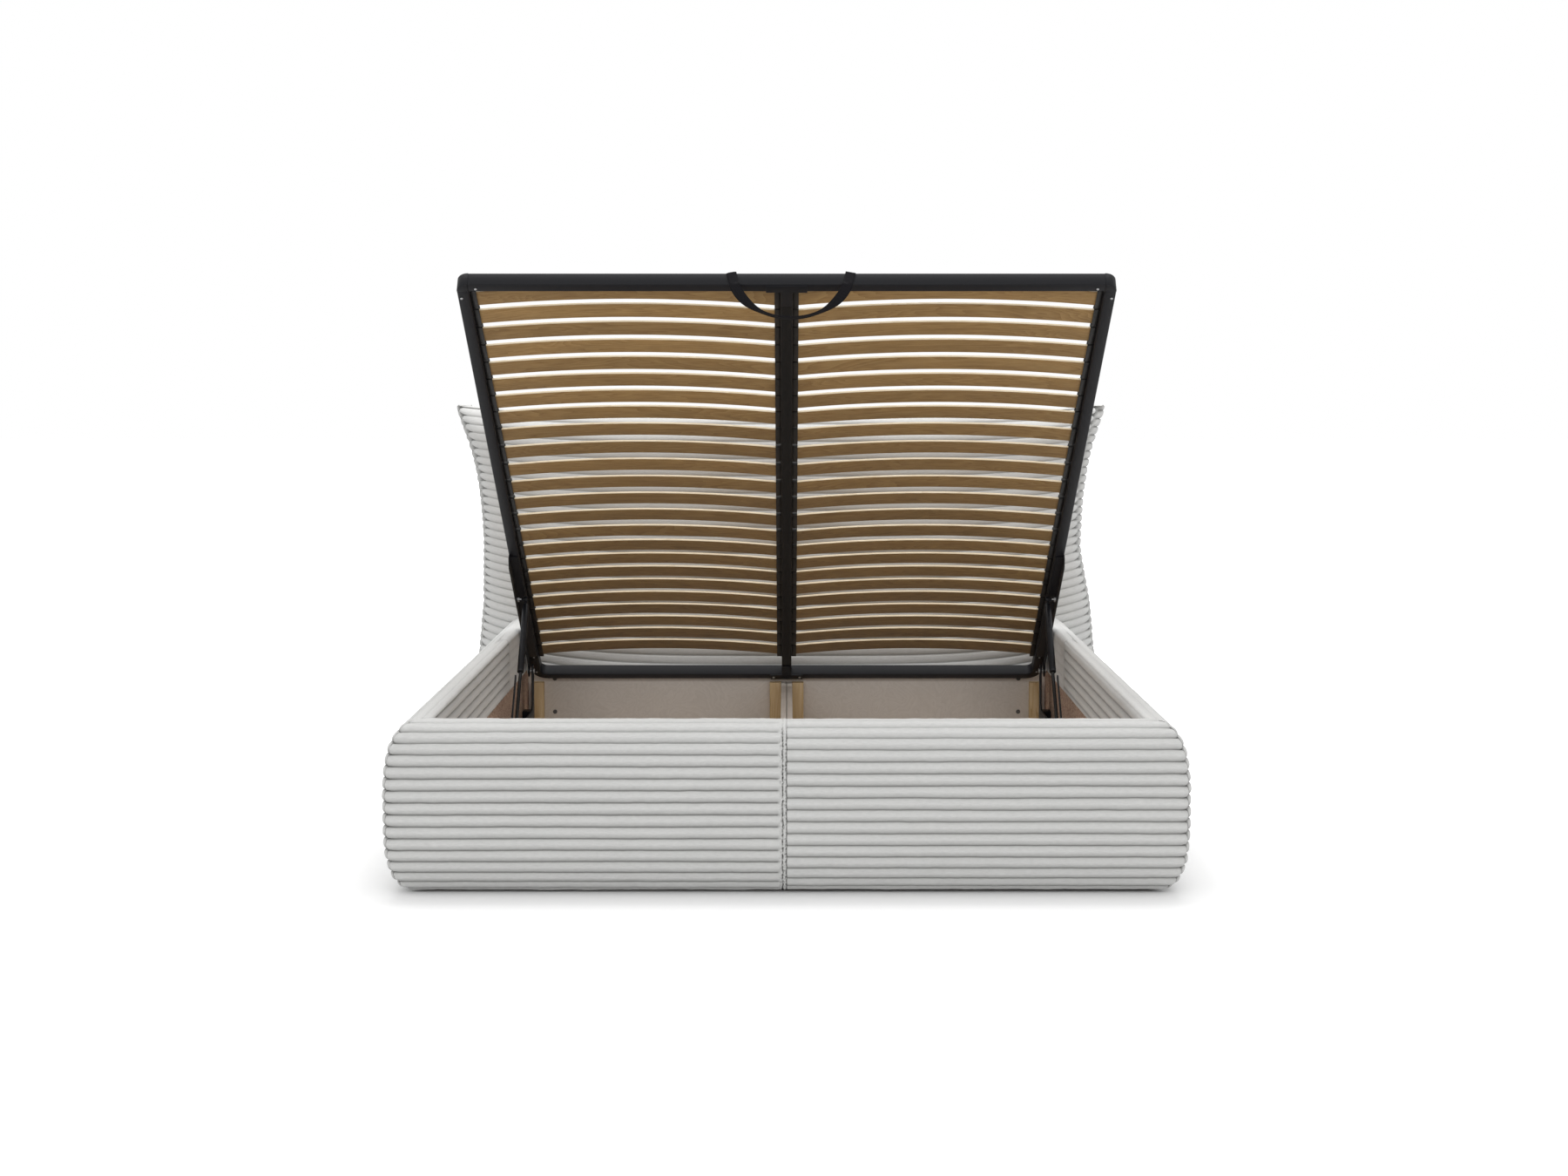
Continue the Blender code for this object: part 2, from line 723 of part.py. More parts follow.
def lift_arms(lift):
    """Steel angles under the side tubes, with the hinge lobe and the strut's stud."""
    outer = mattress_width / 2
    inner = outer - arm_thickness
    top = tube_height + gap
    low = top + arm_depth
    lobe = (hinge_setback, hinge_drop)
    for side, word in SIDES:
        outline = [(arm_end_reach, top), (arm_end_reach, top + arm_depth - arm_chamfer),
                   (arm_end_reach - arm_chamfer, low), (arm_start_reach + arm_chamfer, low)]
        outline += arc(lobe, arm_lobe, 60, 180)
        outline += [(hinge_setback - arm_lobe, top)]
        leg = [(hinge_setback - reach, hinge_drop - depth) for reach, depth in outline]
        bm = bmesh.new()
        prism(bm, leg, side, inner, outer)
        arm = add("lift_arm_" + word, bm, BLACK_STEEL, lift)
        bm = bmesh.new()
        flange = [on_frame(0, arm_end_reach - arm_chamfer / 2, 0).y, on_frame(0, arm_start_reach, 0).y]
        side_block(bm, side, (outer - arm_flange_width, flange[0], hinge_drop - top - arm_thickness),
                   (outer - arm_thickness / 2, flange[1], hinge_drop - top))
        combine(arm, add("arm_flange_" + word, bm, BLACK_STEEL, lift), "UNION")
        bm = bmesh.new()
        inward = Vector((-side, 0, 0))
        stud = on_frame(side * (inner + arm_thickness / 2), strut_pin_reach, strut_pin_drop)
        length = inner + arm_thickness / 2 - strut_x - eye_thickness / 2 - gap
        turned(bm, [(0, stud_radius), (length - stud_head_radius, stud_radius),
                    (length - stud_head_radius + gap, stud_head_radius), (length, stud_head_radius)],
               stud, inward)
        combine(arm, add("arm_stud_" + word, bm, BLACK_STEEL, lift), "UNION")
        bm = bmesh.new()
        turned(bm, [(-overrun, hinge_hole_radius), (arm_thickness + overrun, hinge_hole_radius)],
               Vector((side * outer, 0, 0)), inward)
        combine(arm, add("arm_hole_cutter_" + word, bm, BLACK_STEEL, lift), "DIFFERENCE")


def base_brackets():
    """Steel brackets on the side rails that carry the hinge and the strut's lower end."""
    half = bracket_bar / 2
    far = bracket_x + bracket_thickness
    wall = rail_x + core_setback - gap
    low = strut_anchor.z - half
    high = strut_anchor.z + half
    for side, word in SIDES:
        outline = arc((hinge.y, hinge.z), half, 0, 180)
        outline += [(hinge.y - half, high + half)]
        outline += [(hinge.y - bracket_bar, high)]
        outline += arc((strut_anchor.y, strut_anchor.z), half, 90, 270)
        outline += [(hinge.y + half, low)]
        bm = bmesh.new()
        prism(bm, outline, side, bracket_x, far)
        bracket = add("base_bracket_" + word, bm, BLACK_STEEL)
        bm = bmesh.new()
        for y in (strut_anchor.y + spacer_inset, hinge.y + half - spacer_length):
            side_block(bm, side, (far - overrun, y, strut_anchor.z - spacer_height / 2),
                       (wall, y + spacer_length, strut_anchor.z + spacer_height / 2))
        combine(bracket, add("bracket_spacer_" + word, bm, BLACK_STEEL), "UNION")
        bm = bmesh.new()
        inward = Vector((-side, 0, 0))
        start = Vector((side * (bracket_x + overrun), strut_anchor.y, strut_anchor.z))
        reach = bracket_x + overrun - strut_x + eye_thickness / 2 + overrun
        turned(bm, [(0, stud_radius), (reach, stud_radius)], start, inward)
        combine(bracket, add("bracket_stud_" + word, bm, BLACK_STEEL), "UNION")
        bm = bmesh.new()
        turned(bm, [(-overrun, hinge_hole_radius), (bracket_thickness + overrun, hinge_hole_radius)],
               Vector((side * far, hinge.y, hinge.z)), inward)
        combine(bracket, add("bracket_hole_cutter_" + word, bm, BLACK_STEEL), "DIFFERENCE")


def hinge_bolts():
    """Shouldered bolts that pass through the brackets and carry the arms."""
    bracket_far = bracket_x + bracket_thickness + gap
    arm_near = mattress_width / 2 - arm_thickness - gap
    arm_far = mattress_width / 2 + gap
    head_near = bracket_x - gap - hinge_head_height
    head_far = bracket_x - gap
    chamfer = hinge_head_height / 4
    profile = [(head_near, hinge_head_radius - chamfer), (head_near + chamfer, hinge_head_radius),
               (head_far, hinge_head_radius), (head_far, hinge_pin_radius),
               (bracket_far, hinge_pin_radius), (bracket_far, hinge_shoulder_radius),
               (arm_near, hinge_shoulder_radius), (arm_near, hinge_pin_radius),
               (arm_far, hinge_pin_radius), (arm_far, hinge_head_radius),
               (arm_far + hinge_head_height, hinge_head_radius)]
    for side, word in SIDES:
        bm = bmesh.new()
        turned(bm, profile, Vector((0, hinge.y, hinge.z)), Vector((side, 0, 0)))
        add("hinge_bolt_" + word, bm, BARE_STEEL, smooth=True)


def strut_geometry():
    """Upper pin with the frame raised, and the strut's length both ways."""
    reach = strut_pin_reach - hinge_setback
    rise = hinge_drop - strut_pin_drop
    lengths = []
    pins = []
    for angle in (lift_angle, 0):
        pin = Vector((0, hinge.y - reach * math.cos(angle) + rise * math.sin(angle),
                      hinge.z + reach * math.sin(angle) + rise * math.cos(angle)))
        pins.append(pin)
        lengths.append((pin - strut_anchor).length)
    return pins, lengths


def struts():
    """Gas struts: a rod with its stay bar at the foot, and a cylinder that slides on it."""
    pins, lengths = strut_geometry()
    slope = math.atan2(pins[0].z - strut_anchor.z, pins[0].y - strut_anchor.y)
    tilt = slope - math.pi / 2
    rod_tip = lengths[1] - eye_reach - cylinder_end_wall - overrun
    up = Vector((0, 0, 1))
    for side, word in SIDES:
        foot = pivot("strut_foot_" + word, Vector((side * strut_x, strut_anchor.y, strut_anchor.z)), tilt)
        head = pivot("strut_head_" + word, Vector((side * strut_x, pins[0].y, pins[0].z)), tilt)
        bm = bmesh.new()
        turned(bm, [(eye_radius / 2, rod_radius), (rod_tip, rod_radius)], Vector((0, 0, 0)), up)
        rod = add("strut_rod_" + word, bm, BARE_STEEL, foot, smooth=True)
        half = eye_thickness / 2
        across = Vector((1, 0, 0))
        bm = bmesh.new()
        turned(bm, [(-half, eye_radius), (half, eye_radius)], Vector((0, 0, 0)), across)
        combine(rod, add("rod_eye_" + word, bm, BARE_STEEL, foot), "UNION")
        bm = bmesh.new()
        turned(bm, [(-half - overrun, stud_radius + gap), (half + overrun, stud_radius + gap)],
               Vector((0, 0, 0)), across)
        combine(rod, add("rod_eye_cutter_" + word, bm, BARE_STEEL, foot), "DIFFERENCE")

        bm = bmesh.new()
        width = stay_width / 2
        outline = arc((0, 0), width, 180, 360) + arc((0, stay_length - width), width, 0, 180)
        near = stay_offset
        loft(bm, [[Vector((side * x, y, z)) for y, z in outline] for x in (near, near + stay_thickness)])
        stay = add("strut_stay_" + word, bm, BLACK_STEEL, foot)
        bm = bmesh.new()
        turned(bm, [(near - overrun, stud_radius + gap), (near + stay_thickness + overrun, stud_radius + gap)],
               Vector((0, 0, 0)), Vector((side, 0, 0)))
        combine(stay, add("stay_hole_cutter_" + word, bm, BLACK_STEEL, foot), "DIFFERENCE")

        bm = bmesh.new()
        bore = rod_radius + rod_play
        shoulder = eye_reach - rod_radius
        neck = half - gap
        turned(bm, [(cylinder_end_wall + eye_reach, bore), (eye_reach + cylinder_length, bore),
                    (eye_reach + cylinder_length, cylinder_radius), (eye_reach, cylinder_radius),
                    (shoulder, neck), (eye_radius / 2, neck)], Vector((0, 0, 0)), -up)
        cylinder = add("strut_cylinder_" + word, bm, BLACK_STEEL, head, smooth=True)
        bm = bmesh.new()
        turned(bm, [(-half, eye_radius), (half, eye_radius)], Vector((0, 0, 0)), across)
        combine(cylinder, add("cylinder_eye_" + word, bm, BLACK_STEEL, head), "UNION")
    print("strut length raised %.4f, lowered %.4f" % tuple(lengths))


def build():
    clear_scene()
    wall_cores()
    wall_covers()
    headboard()
    storage_box()
    battens()
    rests()
    lift = pivot("lift_pivot", hinge, -lift_angle)
    frame_tubes(lift)
    beam_plates(lift)
    slat_banks(lift)
    centre_beam(lift)
    pull_strap(lift)
    lift_arms(lift)
    base_brackets()
    hinge_bolts()
    struts()


build()
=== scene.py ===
# %% [markdown]
# # A storage bed with its slatted frame raised
# The imported CAD model is the fixed frame of this scene. It holds every rigid
# piece at its true size and place, so the work here is the surface: cord
# fabric, wood grain, powder-coated steel and the small fasteners.
# We load it first. Nothing added later may grow far outside it.

# %% Load the imported bed
import json
import math
import random

import bmesh
import bpy
import numpy as np
from mathutils import Matrix, Vector, noise

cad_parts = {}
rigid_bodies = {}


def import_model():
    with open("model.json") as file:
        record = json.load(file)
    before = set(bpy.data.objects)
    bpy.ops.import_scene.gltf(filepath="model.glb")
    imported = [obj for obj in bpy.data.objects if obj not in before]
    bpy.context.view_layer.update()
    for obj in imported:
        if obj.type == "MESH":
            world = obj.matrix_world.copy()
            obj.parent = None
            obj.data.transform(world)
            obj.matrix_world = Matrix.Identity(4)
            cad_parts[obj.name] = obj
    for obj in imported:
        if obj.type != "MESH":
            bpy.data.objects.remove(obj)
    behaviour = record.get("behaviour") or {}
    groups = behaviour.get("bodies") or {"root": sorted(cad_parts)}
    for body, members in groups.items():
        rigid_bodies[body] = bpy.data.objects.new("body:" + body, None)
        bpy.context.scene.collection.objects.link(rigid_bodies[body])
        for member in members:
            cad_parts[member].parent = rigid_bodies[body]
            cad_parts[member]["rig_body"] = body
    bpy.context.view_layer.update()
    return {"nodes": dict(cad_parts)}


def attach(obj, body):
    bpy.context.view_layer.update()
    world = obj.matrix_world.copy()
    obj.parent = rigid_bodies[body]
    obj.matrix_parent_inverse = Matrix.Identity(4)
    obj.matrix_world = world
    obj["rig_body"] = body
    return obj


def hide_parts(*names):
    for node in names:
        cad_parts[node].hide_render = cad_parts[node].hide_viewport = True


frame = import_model()
nodes = frame["nodes"]
scene = bpy.context.scene

# %% [markdown]
# ## Sizes that the dressing shares with the model
# The pieces made here sit on CAD pieces, so their sizes repeat the model's.
# Lengths are in metres. The lying frame is measured across (X), along from its
# head end (reach) and down from its top (depth). One matrix lifts it.

# %% Shared sizes
mattress_width = 1.60
mattress_length = 2.00
rail_x = 0.81
foot_y = -1.05
headboard_y = 1.015
wall_top = 0.395
cover_bottom = 0.004
wall_depth = 0.100
core_outer = 0.030
core_setback = 0.008
core_top = 0.375
flap_bottom = 0.245
inner_roll = 0.014
gap = 0.0003
tube_width = 0.029
tube_height = 0.035
beam_width = 0.030
hinge_setback = 0.125
hinge_drop = 0.075
hinge = Vector((0, 0.85, 0.248))
lift_angle = math.radians(36.2)
lift = Matrix.Translation(hinge) @ Matrix.Rotation(-lift_angle, 4, "X")
SIDES = ((-1, "left"), (1, "right"))


def on_frame(x, reach, depth):
    """A place on the lying frame, before it is lifted."""
    return Vector((x, hinge_setback - reach, hinge_drop - depth))


print("top of the lifted frame at z =", round((lift @ on_frame(0, mattress_length, 0)).z, 3))

# %% [markdown]
# ## Camera, floor and light
# The photograph was taken from the foot end, a little above the bed, with the
# lens tilted down by five and a half degrees. The camera stands where the
# lines of the bed say it stood. A large white floor catches the soft contact
# shadow, which ambient occlusion on the floor's glow deepens as a painted
# contact shadow, and big area lamps above and in front stand for studio softboxes.

# %% Camera
camera_data = bpy.data.cameras.new("studio_camera")
camera_data.lens = 53.18
camera_data.sensor_width = 36
camera_data.shift_x = -3 / 1800
camera = bpy.data.objects.new("studio_camera", camera_data)
camera.location = (0, -6.275, 1.20)
camera.rotation_euler = (math.radians(90 - 5.56), 0, 0)
scene.collection.objects.link(camera)
scene.camera = camera
print("camera lens:", camera_data.lens, "mm")

# %% Node helpers
def set_inputs(node, values):
    """Set a node's inputs by name, written with _ for each space."""
    for name, value in values.items():
        node.inputs[name.replace("_", " ")].default_value = value


def new_node(tree, kind, **values):
    """Add a node of a kind with some of its inputs set."""
    node = tree.nodes.new(kind)
    set_inputs(node, values)
    return node


def math_node(tree, operation, first, second):
    """A math node; each input is a socket to link or a number to set."""
    node = new_node(tree, "ShaderNodeMath")
    node.operation = operation
    for k, value in enumerate((first, second)):
        if isinstance(value, (int, float)):
            node.inputs[k].default_value = value
        else:
            tree.links.new(value, node.inputs[k])
    return node.outputs[0]


def range_node(tree, value, old, new):
    """Map a value from one (low, high) range to another."""
    node = new_node(tree, "ShaderNodeMapRange", From_Min=old[0], From_Max=old[1], To_Min=new[0], To_Max=new[1])
    tree.links.new(value, node.inputs["Value"])
    return node.outputs["Result"]


def object_coordinates(tree):
    """The piece's own coordinates, in metres."""
    return new_node(tree, "ShaderNodeTexCoord").outputs["Object"]


def start_material(name, colour, roughness, **values):
    """A new material with its tree and shader; further values are inputs of the shader."""
    material = bpy.data.materials.new(name)
    material.use_nodes = True
    tree = material.node_tree
    shader = tree.nodes["Principled BSDF"]
    set_inputs(shader, {"Base Color": (*colour, 1), "Roughness": roughness, **values})
    return material, tree, shader


print("node helpers ready")

# %% World and floor
world_strength, backdrop_strength = 0.64, 1.0
floor_half, floor_colour = 30, (0.80, 0.80, 0.80)
glow_reach, glow_strength = (1.6, 3.2), (0.34, 1.0)
painted_shadow_reach, painted_shadow_samples = 0.16, 8

scene.view_settings.view_transform = "Standard"
world = bpy.data.worlds.new("studio")
world.use_nodes = True
scene.world = world
tree = world.node_tree
background = tree.nodes["Background"]
background.inputs["Color"].default_value = (1, 1, 1, 1)
path = new_node(tree, "ShaderNodeLightPath")
seen = math_node(tree, "MAXIMUM", path.outputs["Is Camera Ray"], path.outputs["Is Transmission Ray"])
strength = range_node(tree, seen, (0, 1), (world_strength, backdrop_strength))
tree.links.new(strength, background.inputs["Strength"])

floor_material, tree, shader = start_material("studio_floor", floor_colour, 0.9, Specular_IOR_Level=0.0,
                                              Emission_Color=(1, 1, 1, 1))
distance = new_node(tree, "ShaderNodeVectorMath")
distance.operation = "LENGTH"
tree.links.new(object_coordinates(tree), distance.inputs[0])
glow = range_node(tree, distance.outputs["Value"], glow_reach, glow_strength)
path = new_node(tree, "ShaderNodeLightPath")
glow = math_node(tree, "MULTIPLY", path.outputs["Is Camera Ray"], glow)
# Painted contact shadow: the floor's glow is multiplied by ambient occlusion, so it darkens near and under the bed.
painted_contact_shadow = new_node(tree, "ShaderNodeAmbientOcclusion", Distance=painted_shadow_reach)
painted_contact_shadow.samples = painted_shadow_samples
glow = math_node(tree, "MULTIPLY", glow, painted_contact_shadow.outputs["AO"])
tree.links.new(glow, shader.inputs["Emission Strength"])

bm = bmesh.new()
bmesh.ops.create_grid(bm, x_segments=1, y_segments=1, size=floor_half)
mesh = bpy.data.meshes.new("studio_floor")
bm.to_mesh(mesh)
bm.free()
mesh.materials.append(floor_material)
floor = bpy.data.objects.new("studio_floor", mesh)
scene.collection.objects.link(floor)
print("floor:", floor.dimensions.x, "m wide")


# %% Lamps
def softbox(name, place, aim, size, power):
    """A rectangular area lamp at a place, turned to a point."""
    lamp = bpy.data.lights.new(name, "AREA")
    lamp.shape = "RECTANGLE"
    lamp.size, lamp.size_y = size
    lamp.energy = power
    holder = bpy.data.objects.new(name, lamp)
    holder.location = place
    holder.rotation_euler = (Vector(aim) - Vector(place)).to_track_quat("-Z", "Y").to_euler()
    scene.collection.objects.link(holder)


softbox("top_softbox", (0, 1.1, 4.2), (0, 0.5, 0.3), (5.0, 3.0), 140)
softbox("front_softbox", (0, -4.8, 2.6), (0, -0.6, 0.3), (5.0, 1.6), 48)

# %% [markdown]
# ## Shader groups
# Several finishes share an effect: a soft mottle that keeps a surface from
# looking like plastic, and a grain for the wooden pieces. Each is built once
# as a node group with named sockets, and every material sets its own values.


# %% Start a node group
def start_group(name, inputs, outputs):
    """A group with inputs as (label, kind, default) and float outputs; return it with its two end nodes."""
    group = bpy.data.node_groups.new(name, "ShaderNodeTree")
    for label, kind, value in inputs:
        socket = group.interface.new_socket(label, in_out="INPUT", socket_type=kind)
        if value is not None:
            socket.default_value = value
    for label in outputs:
        group.interface.new_socket(label, in_out="OUTPUT", socket_type="NodeSocketFloat")
    return group, group.nodes.new("NodeGroupInput"), group.nodes.new("NodeGroupOutput")


print("group helper ready")

# %% Mottle group
mottle, here, out = start_group("mottle", [("Vector", "NodeSocketVector", None),
                                           ("Scale", "NodeSocketFloat", 40.0),
                                           ("Amount", "NodeSocketFloat", 0.05)], ["Tone", "Height"])
broad = new_node(mottle, "ShaderNodeTexNoise", Detail=5.0, Roughness=0.6)
for label in ("Vector", "Scale"):
    mottle.links.new(here.outputs[label], broad.inputs[label])
centred = math_node(mottle, "SUBTRACT", broad.outputs["Fac"], 0.5)
swing = math_node(mottle, "MULTIPLY", centred, here.outputs["Amount"])
doubled = math_node(mottle, "MULTIPLY", swing, 2.0)
mottle.links.new(math_node(mottle, "ADD", doubled, 1.0), out.inputs["Tone"])
mottle.links.new(broad.outputs["Fac"], out.inputs["Height"])
print("group:", mottle.name)

# %% [markdown]
# Wood grain is a fine noise stretched along the fibre. A second, wavier noise
# is cut into rings and added more weakly, so that the lines run close together
# and open into flames now and then, as on sliced veneer.

# %% Grain group
ring_count, ring_weight = 22.0, 0.35
grain, here, out = start_group("grain", [("Vector", "NodeSocketVector", None),
                                         ("Line Scale", "NodeSocketFloat", 1.0),
                                         ("Figure Scale", "NodeSocketFloat", 1.0)], ["Lines"])
figure = new_node(grain, "ShaderNodeTexNoise", Detail=3.0, Distortion=0.6)
fibre = new_node(grain, "ShaderNodeTexNoise", Detail=8.0, Roughness=0.7)
for node, scale in ((figure, "Figure Scale"), (fibre, "Line Scale")):
    grain.links.new(here.outputs["Vector"], node.inputs["Vector"])
    grain.links.new(here.outputs[scale], node.inputs["Scale"])
rings = math_node(grain, "MULTIPLY", figure.outputs["Fac"], ring_count)
rings = math_node(grain, "FRACT", rings, 0.0)
rings = math_node(grain, "MULTIPLY", rings, ring_weight)
grain.links.new(math_node(grain, "ADD", rings, fibre.outputs["Fac"]), out.inputs["Lines"])
print("group:", grain.name)


# %% Parts of a material
def place_group(tree, group, stretch=(1, 1, 1), coordinates=None, **values):
    """Add a group, on the object's coordinates unless others are given, scaled per axis; return its node."""
    if coordinates is None:
        coordinates = object_coordinates(tree)
    mapping = new_node(tree, "ShaderNodeMapping", Scale=stretch)
    tree.links.new(coordinates, mapping.inputs["Vector"])
    node = new_node(tree, "ShaderNodeGroup")
    node.node_tree = group
    set_inputs(node, values)
    tree.links.new(mapping.outputs["Vector"], node.inputs["Vector"])
    return node


def pile_coordinates(tree):
    """The UV map of the cord and the strap, in metres along and across."""
    node = new_node(tree, "ShaderNodeUVMap")
    node.uv_map = "pile"
    return node.outputs["UV"]


def attribute(tree, name):
    """A number that the mesh holds at each vertex."""
    node = new_node(tree, "ShaderNodeAttribute")
    node.attribute_name = name
    return node.outputs["Fac"]


def ramp(tree, value, stops):
    """A colour ramp fed by a value; stops are (position, colour)."""
    node = new_node(tree, "ShaderNodeValToRGB")
    while len(node.color_ramp.elements) < len(stops):
        node.color_ramp.elements.new(0.5)
    for element, (position, colour) in zip(node.color_ramp.elements, stops):
        element.position = position
        element.color = (*colour, 1)
    tree.links.new(value, node.inputs["Fac"])
    return node.outputs["Color"]


def times(tree, colour, factor):
    """Scale a colour, a socket or three numbers, by a number from another socket."""
    node = new_node(tree, "ShaderNodeVectorMath")
    node.operation = "SCALE"
    if isinstance(colour, tuple):
        node.inputs[0].default_value = colour
    else:
        tree.links.new(colour, node.inputs[0])
    tree.links.new(factor, node.inputs["Scale"])
    return node.outputs["Vector"]


def paint(tree, shader, colour, height, strength, distance):
    """Give a shader its colour and a bump from a height."""
    node = new_node(tree, "ShaderNodeBump", Strength=strength, Distance=distance)
    tree.links.new(height, node.inputs["Height"])
    tree.links.new(node.outputs["Normal"], shader.inputs["Normal"])
    tree.links.new(colour, shader.inputs["Base Color"])


print("material helpers ready")

# %% [markdown]
# ## Cord fabric
# The cover is jumbo cord: thick soft ribs with a short pile. The ribs are real
# geometry, so the material only adds what is smaller. Pile scatters light at
# the edges (sheen) and lies in slightly different directions (streaks along each
# rib). Shade is painted into the colour from an attribute that the mesh holds:
# darker down in each groove, on the lower half of each rib and in the seams.

# %% Cord fabric material
cord, tree, shader = start_material("cord_fabric", (0.62, 0.62, 0.60), 0.92, Sheen_Weight=0.18,
                                    Sheen_Roughness=0.6, Specular_IOR_Level=0.15)
streaks = place_group(tree, mottle, (0.22, 1.0, 1.0), pile_coordinates(tree), Scale=330.0, Amount=0.15)
patches = place_group(tree, mottle, Scale=9.0, Amount=0.03)
# Painted shade: the groove attribute darkens the cloth in grooves, on the lower half of ribs and in seams and creases.
painted_rib_shade = ramp(tree, attribute(tree, "groove"), [(0.0, (0.690, 0.690, 0.677)), (0.30, (0.575, 0.575, 0.563)),
                                              (1.0, (0.20, 0.20, 0.19))])
for effect in (streaks, patches):
    painted_rib_shade = times(tree, painted_rib_shade, effect.outputs["Tone"])
paint(tree, shader, painted_rib_shade, streaks.outputs["Height"], 0.45, 0.0010)
print("material:", cord.name)

# %% [markdown]
# ## Wood, board and metal
# The slats are bent strips of glued beech veneer, so the grain runs along them
# and each strip has its own tone; the strips are also painted darker towards
# the head end, as painted shade deep in the box. The battens are plain pine, the
# boards in the walls are raw chipboard, and the panels of the box have a
# grey-beige printed face. Steel is powder coated: near black, with a faint orange peel.

# %% Slat wood
slat_wood, tree, shader = start_material("slat_beech", (0.30, 0.19, 0.09), 0.48, Coat_Weight=0.15)
veneer = place_group(tree, grain, (0.09, 1.0, 1.0), Line_Scale=260.0, Figure_Scale=14.0).outputs["Lines"]
wood = ramp(tree, veneer, [(0.30, (0.225, 0.118, 0.034)), (0.62, (0.345, 0.200, 0.068)),
                           (0.95, (0.430, 0.268, 0.102))])
flames = place_group(tree, mottle, (0.35, 1.0, 1.0), Scale=26.0, Amount=0.22)
# Each slat's attribute multiplies in its own random tone and painted shade, darker towards the head end.
wood = times(tree, times(tree, wood, flames.outputs["Tone"]), attribute(tree, "tone"))
paint(tree, shader, wood, veneer, 0.12, 0.0006)

slat_edge, tree, shader = start_material("slat_edge", (0.62, 0.50, 0.34), 0.55)
plies = place_group(tree, grain, (0.05, 1.0, 1.0), Line_Scale=420.0, Figure_Scale=30.0).outputs["Lines"]
edge = ramp(tree, plies, [(0.25, (0.50, 0.37, 0.22)), (0.60, (0.74, 0.62, 0.43)), (0.95, (0.82, 0.72, 0.54))])
tree.links.new(edge, shader.inputs["Base Color"])
print("materials:", slat_wood.name, slat_edge.name)


# %% Pine for battens, one way up and one way along
def pine_material(name, stretch):
    """Pine with its grain along the axis that is stretched."""
    material, tree, shader = start_material(name, (0.60, 0.43, 0.24), 0.6)
    board = place_group(tree, grain, stretch, Line_Scale=120.0, Figure_Scale=9.0).outputs["Lines"]
    wood = ramp(tree, board, [(0.30, (0.42, 0.26, 0.11)), (0.60, (0.56, 0.39, 0.20)), (0.95, (0.66, 0.50, 0.29))])
    paint(tree, shader, wood, board, 0.2, 0.0008)
    return material


pine_upright = pine_material("pine_upright", (1.0, 1.0, 0.07))
pine_along = pine_material("pine_along", (1.0, 0.07, 1.0))
print("pine:", pine_upright.name, pine_along.name)

# %% Chipboard and panels
chipboard, tree, shader = start_material("raw_chipboard", (0.30, 0.19, 0.13), 0.85)
flakes = new_node(tree, "ShaderNodeTexVoronoi", Scale=260.0)
tree.links.new(object_coordinates(tree), flakes.inputs["Vector"])
chips = ramp(tree, flakes.outputs["Color"], [(0.2, (0.30, 0.185, 0.135)), (0.55, (0.46, 0.31, 0.235)),
                                             (0.9, (0.62, 0.47, 0.36))])
blotch = place_group(tree, mottle, Scale=18.0, Amount=0.12)
paint(tree, shader, times(tree, chips, blotch.outputs["Tone"]), flakes.outputs["Distance"], 0.25, 0.0006)

panel_light, panel_dark = (0.68, 0.62, 0.56), (0.60, 0.54, 0.48)
panel, tree, shader = start_material("box_board", panel_light, 0.55)
face = place_group(tree, grain, (1.0, 0.10, 1.0), Line_Scale=90.0, Figure_Scale=6.0).outputs["Lines"]
printed = ramp(tree, face, [(0.25, panel_dark), (0.85, panel_light)])
blotch = place_group(tree, mottle, Scale=5.0, Amount=0.05)
paint(tree, shader, times(tree, printed, blotch.outputs["Tone"]), face, 0.08, 0.0004)
print("boards:", chipboard.name, panel.name)


# %% Coated and bare steel, plastic and rubber
def speckled(name, colour, roughness, metallic, scale, depth, swing, specular=0.5):
    """A material with a fine orange peel and a roughness that changes a little."""
    material, tree, shader = start_material(name, colour, roughness, Metallic=metallic, Specular_IOR_Level=specular)
    peel = place_group(tree, mottle, Scale=scale, Amount=swing)
    tree.links.new(math_node(tree, "MULTIPLY", peel.outputs["Tone"], roughness), shader.inputs["Roughness"])
    paint(tree, shader, times(tree, colour, peel.outputs["Tone"]), peel.outputs["Height"], 0.3, depth)
    return material


coat = speckled("powder_coat", (0.0078, 0.0080, 0.0105), 0.45, 0.0, 420.0, 0.0005, 0.12, 0.27)
zinc = speckled("zinc_steel", (0.60, 0.61, 0.62), 0.30, 1.0, 300.0, 0.0002, 0.10)
rod_steel = speckled("dark_chrome", (0.055, 0.056, 0.058), 0.22, 1.0, 300.0, 0.0001, 0.05)
beam_coat = speckled("beam_coat", (0.0050, 0.0050, 0.0052), 0.40, 0.0, 420.0, 0.0004, 0.12, 0.22)
cap_grey = speckled("grey_cap", (0.10, 0.095, 0.09), 0.45, 0.0, 300.0, 0.0002, 0.08)
plastic = speckled("moulded_plastic", (0.011, 0.0100, 0.0090), 0.36, 0.0, 600.0, 0.0003, 0.08)
rubber = speckled("soft_rubber", (0.030, 0.030, 0.030), 0.80, 0.0, 500.0, 0.0004, 0.15)
print("steel:", coat.name, zinc.name, "other:", plastic.name, rubber.name)

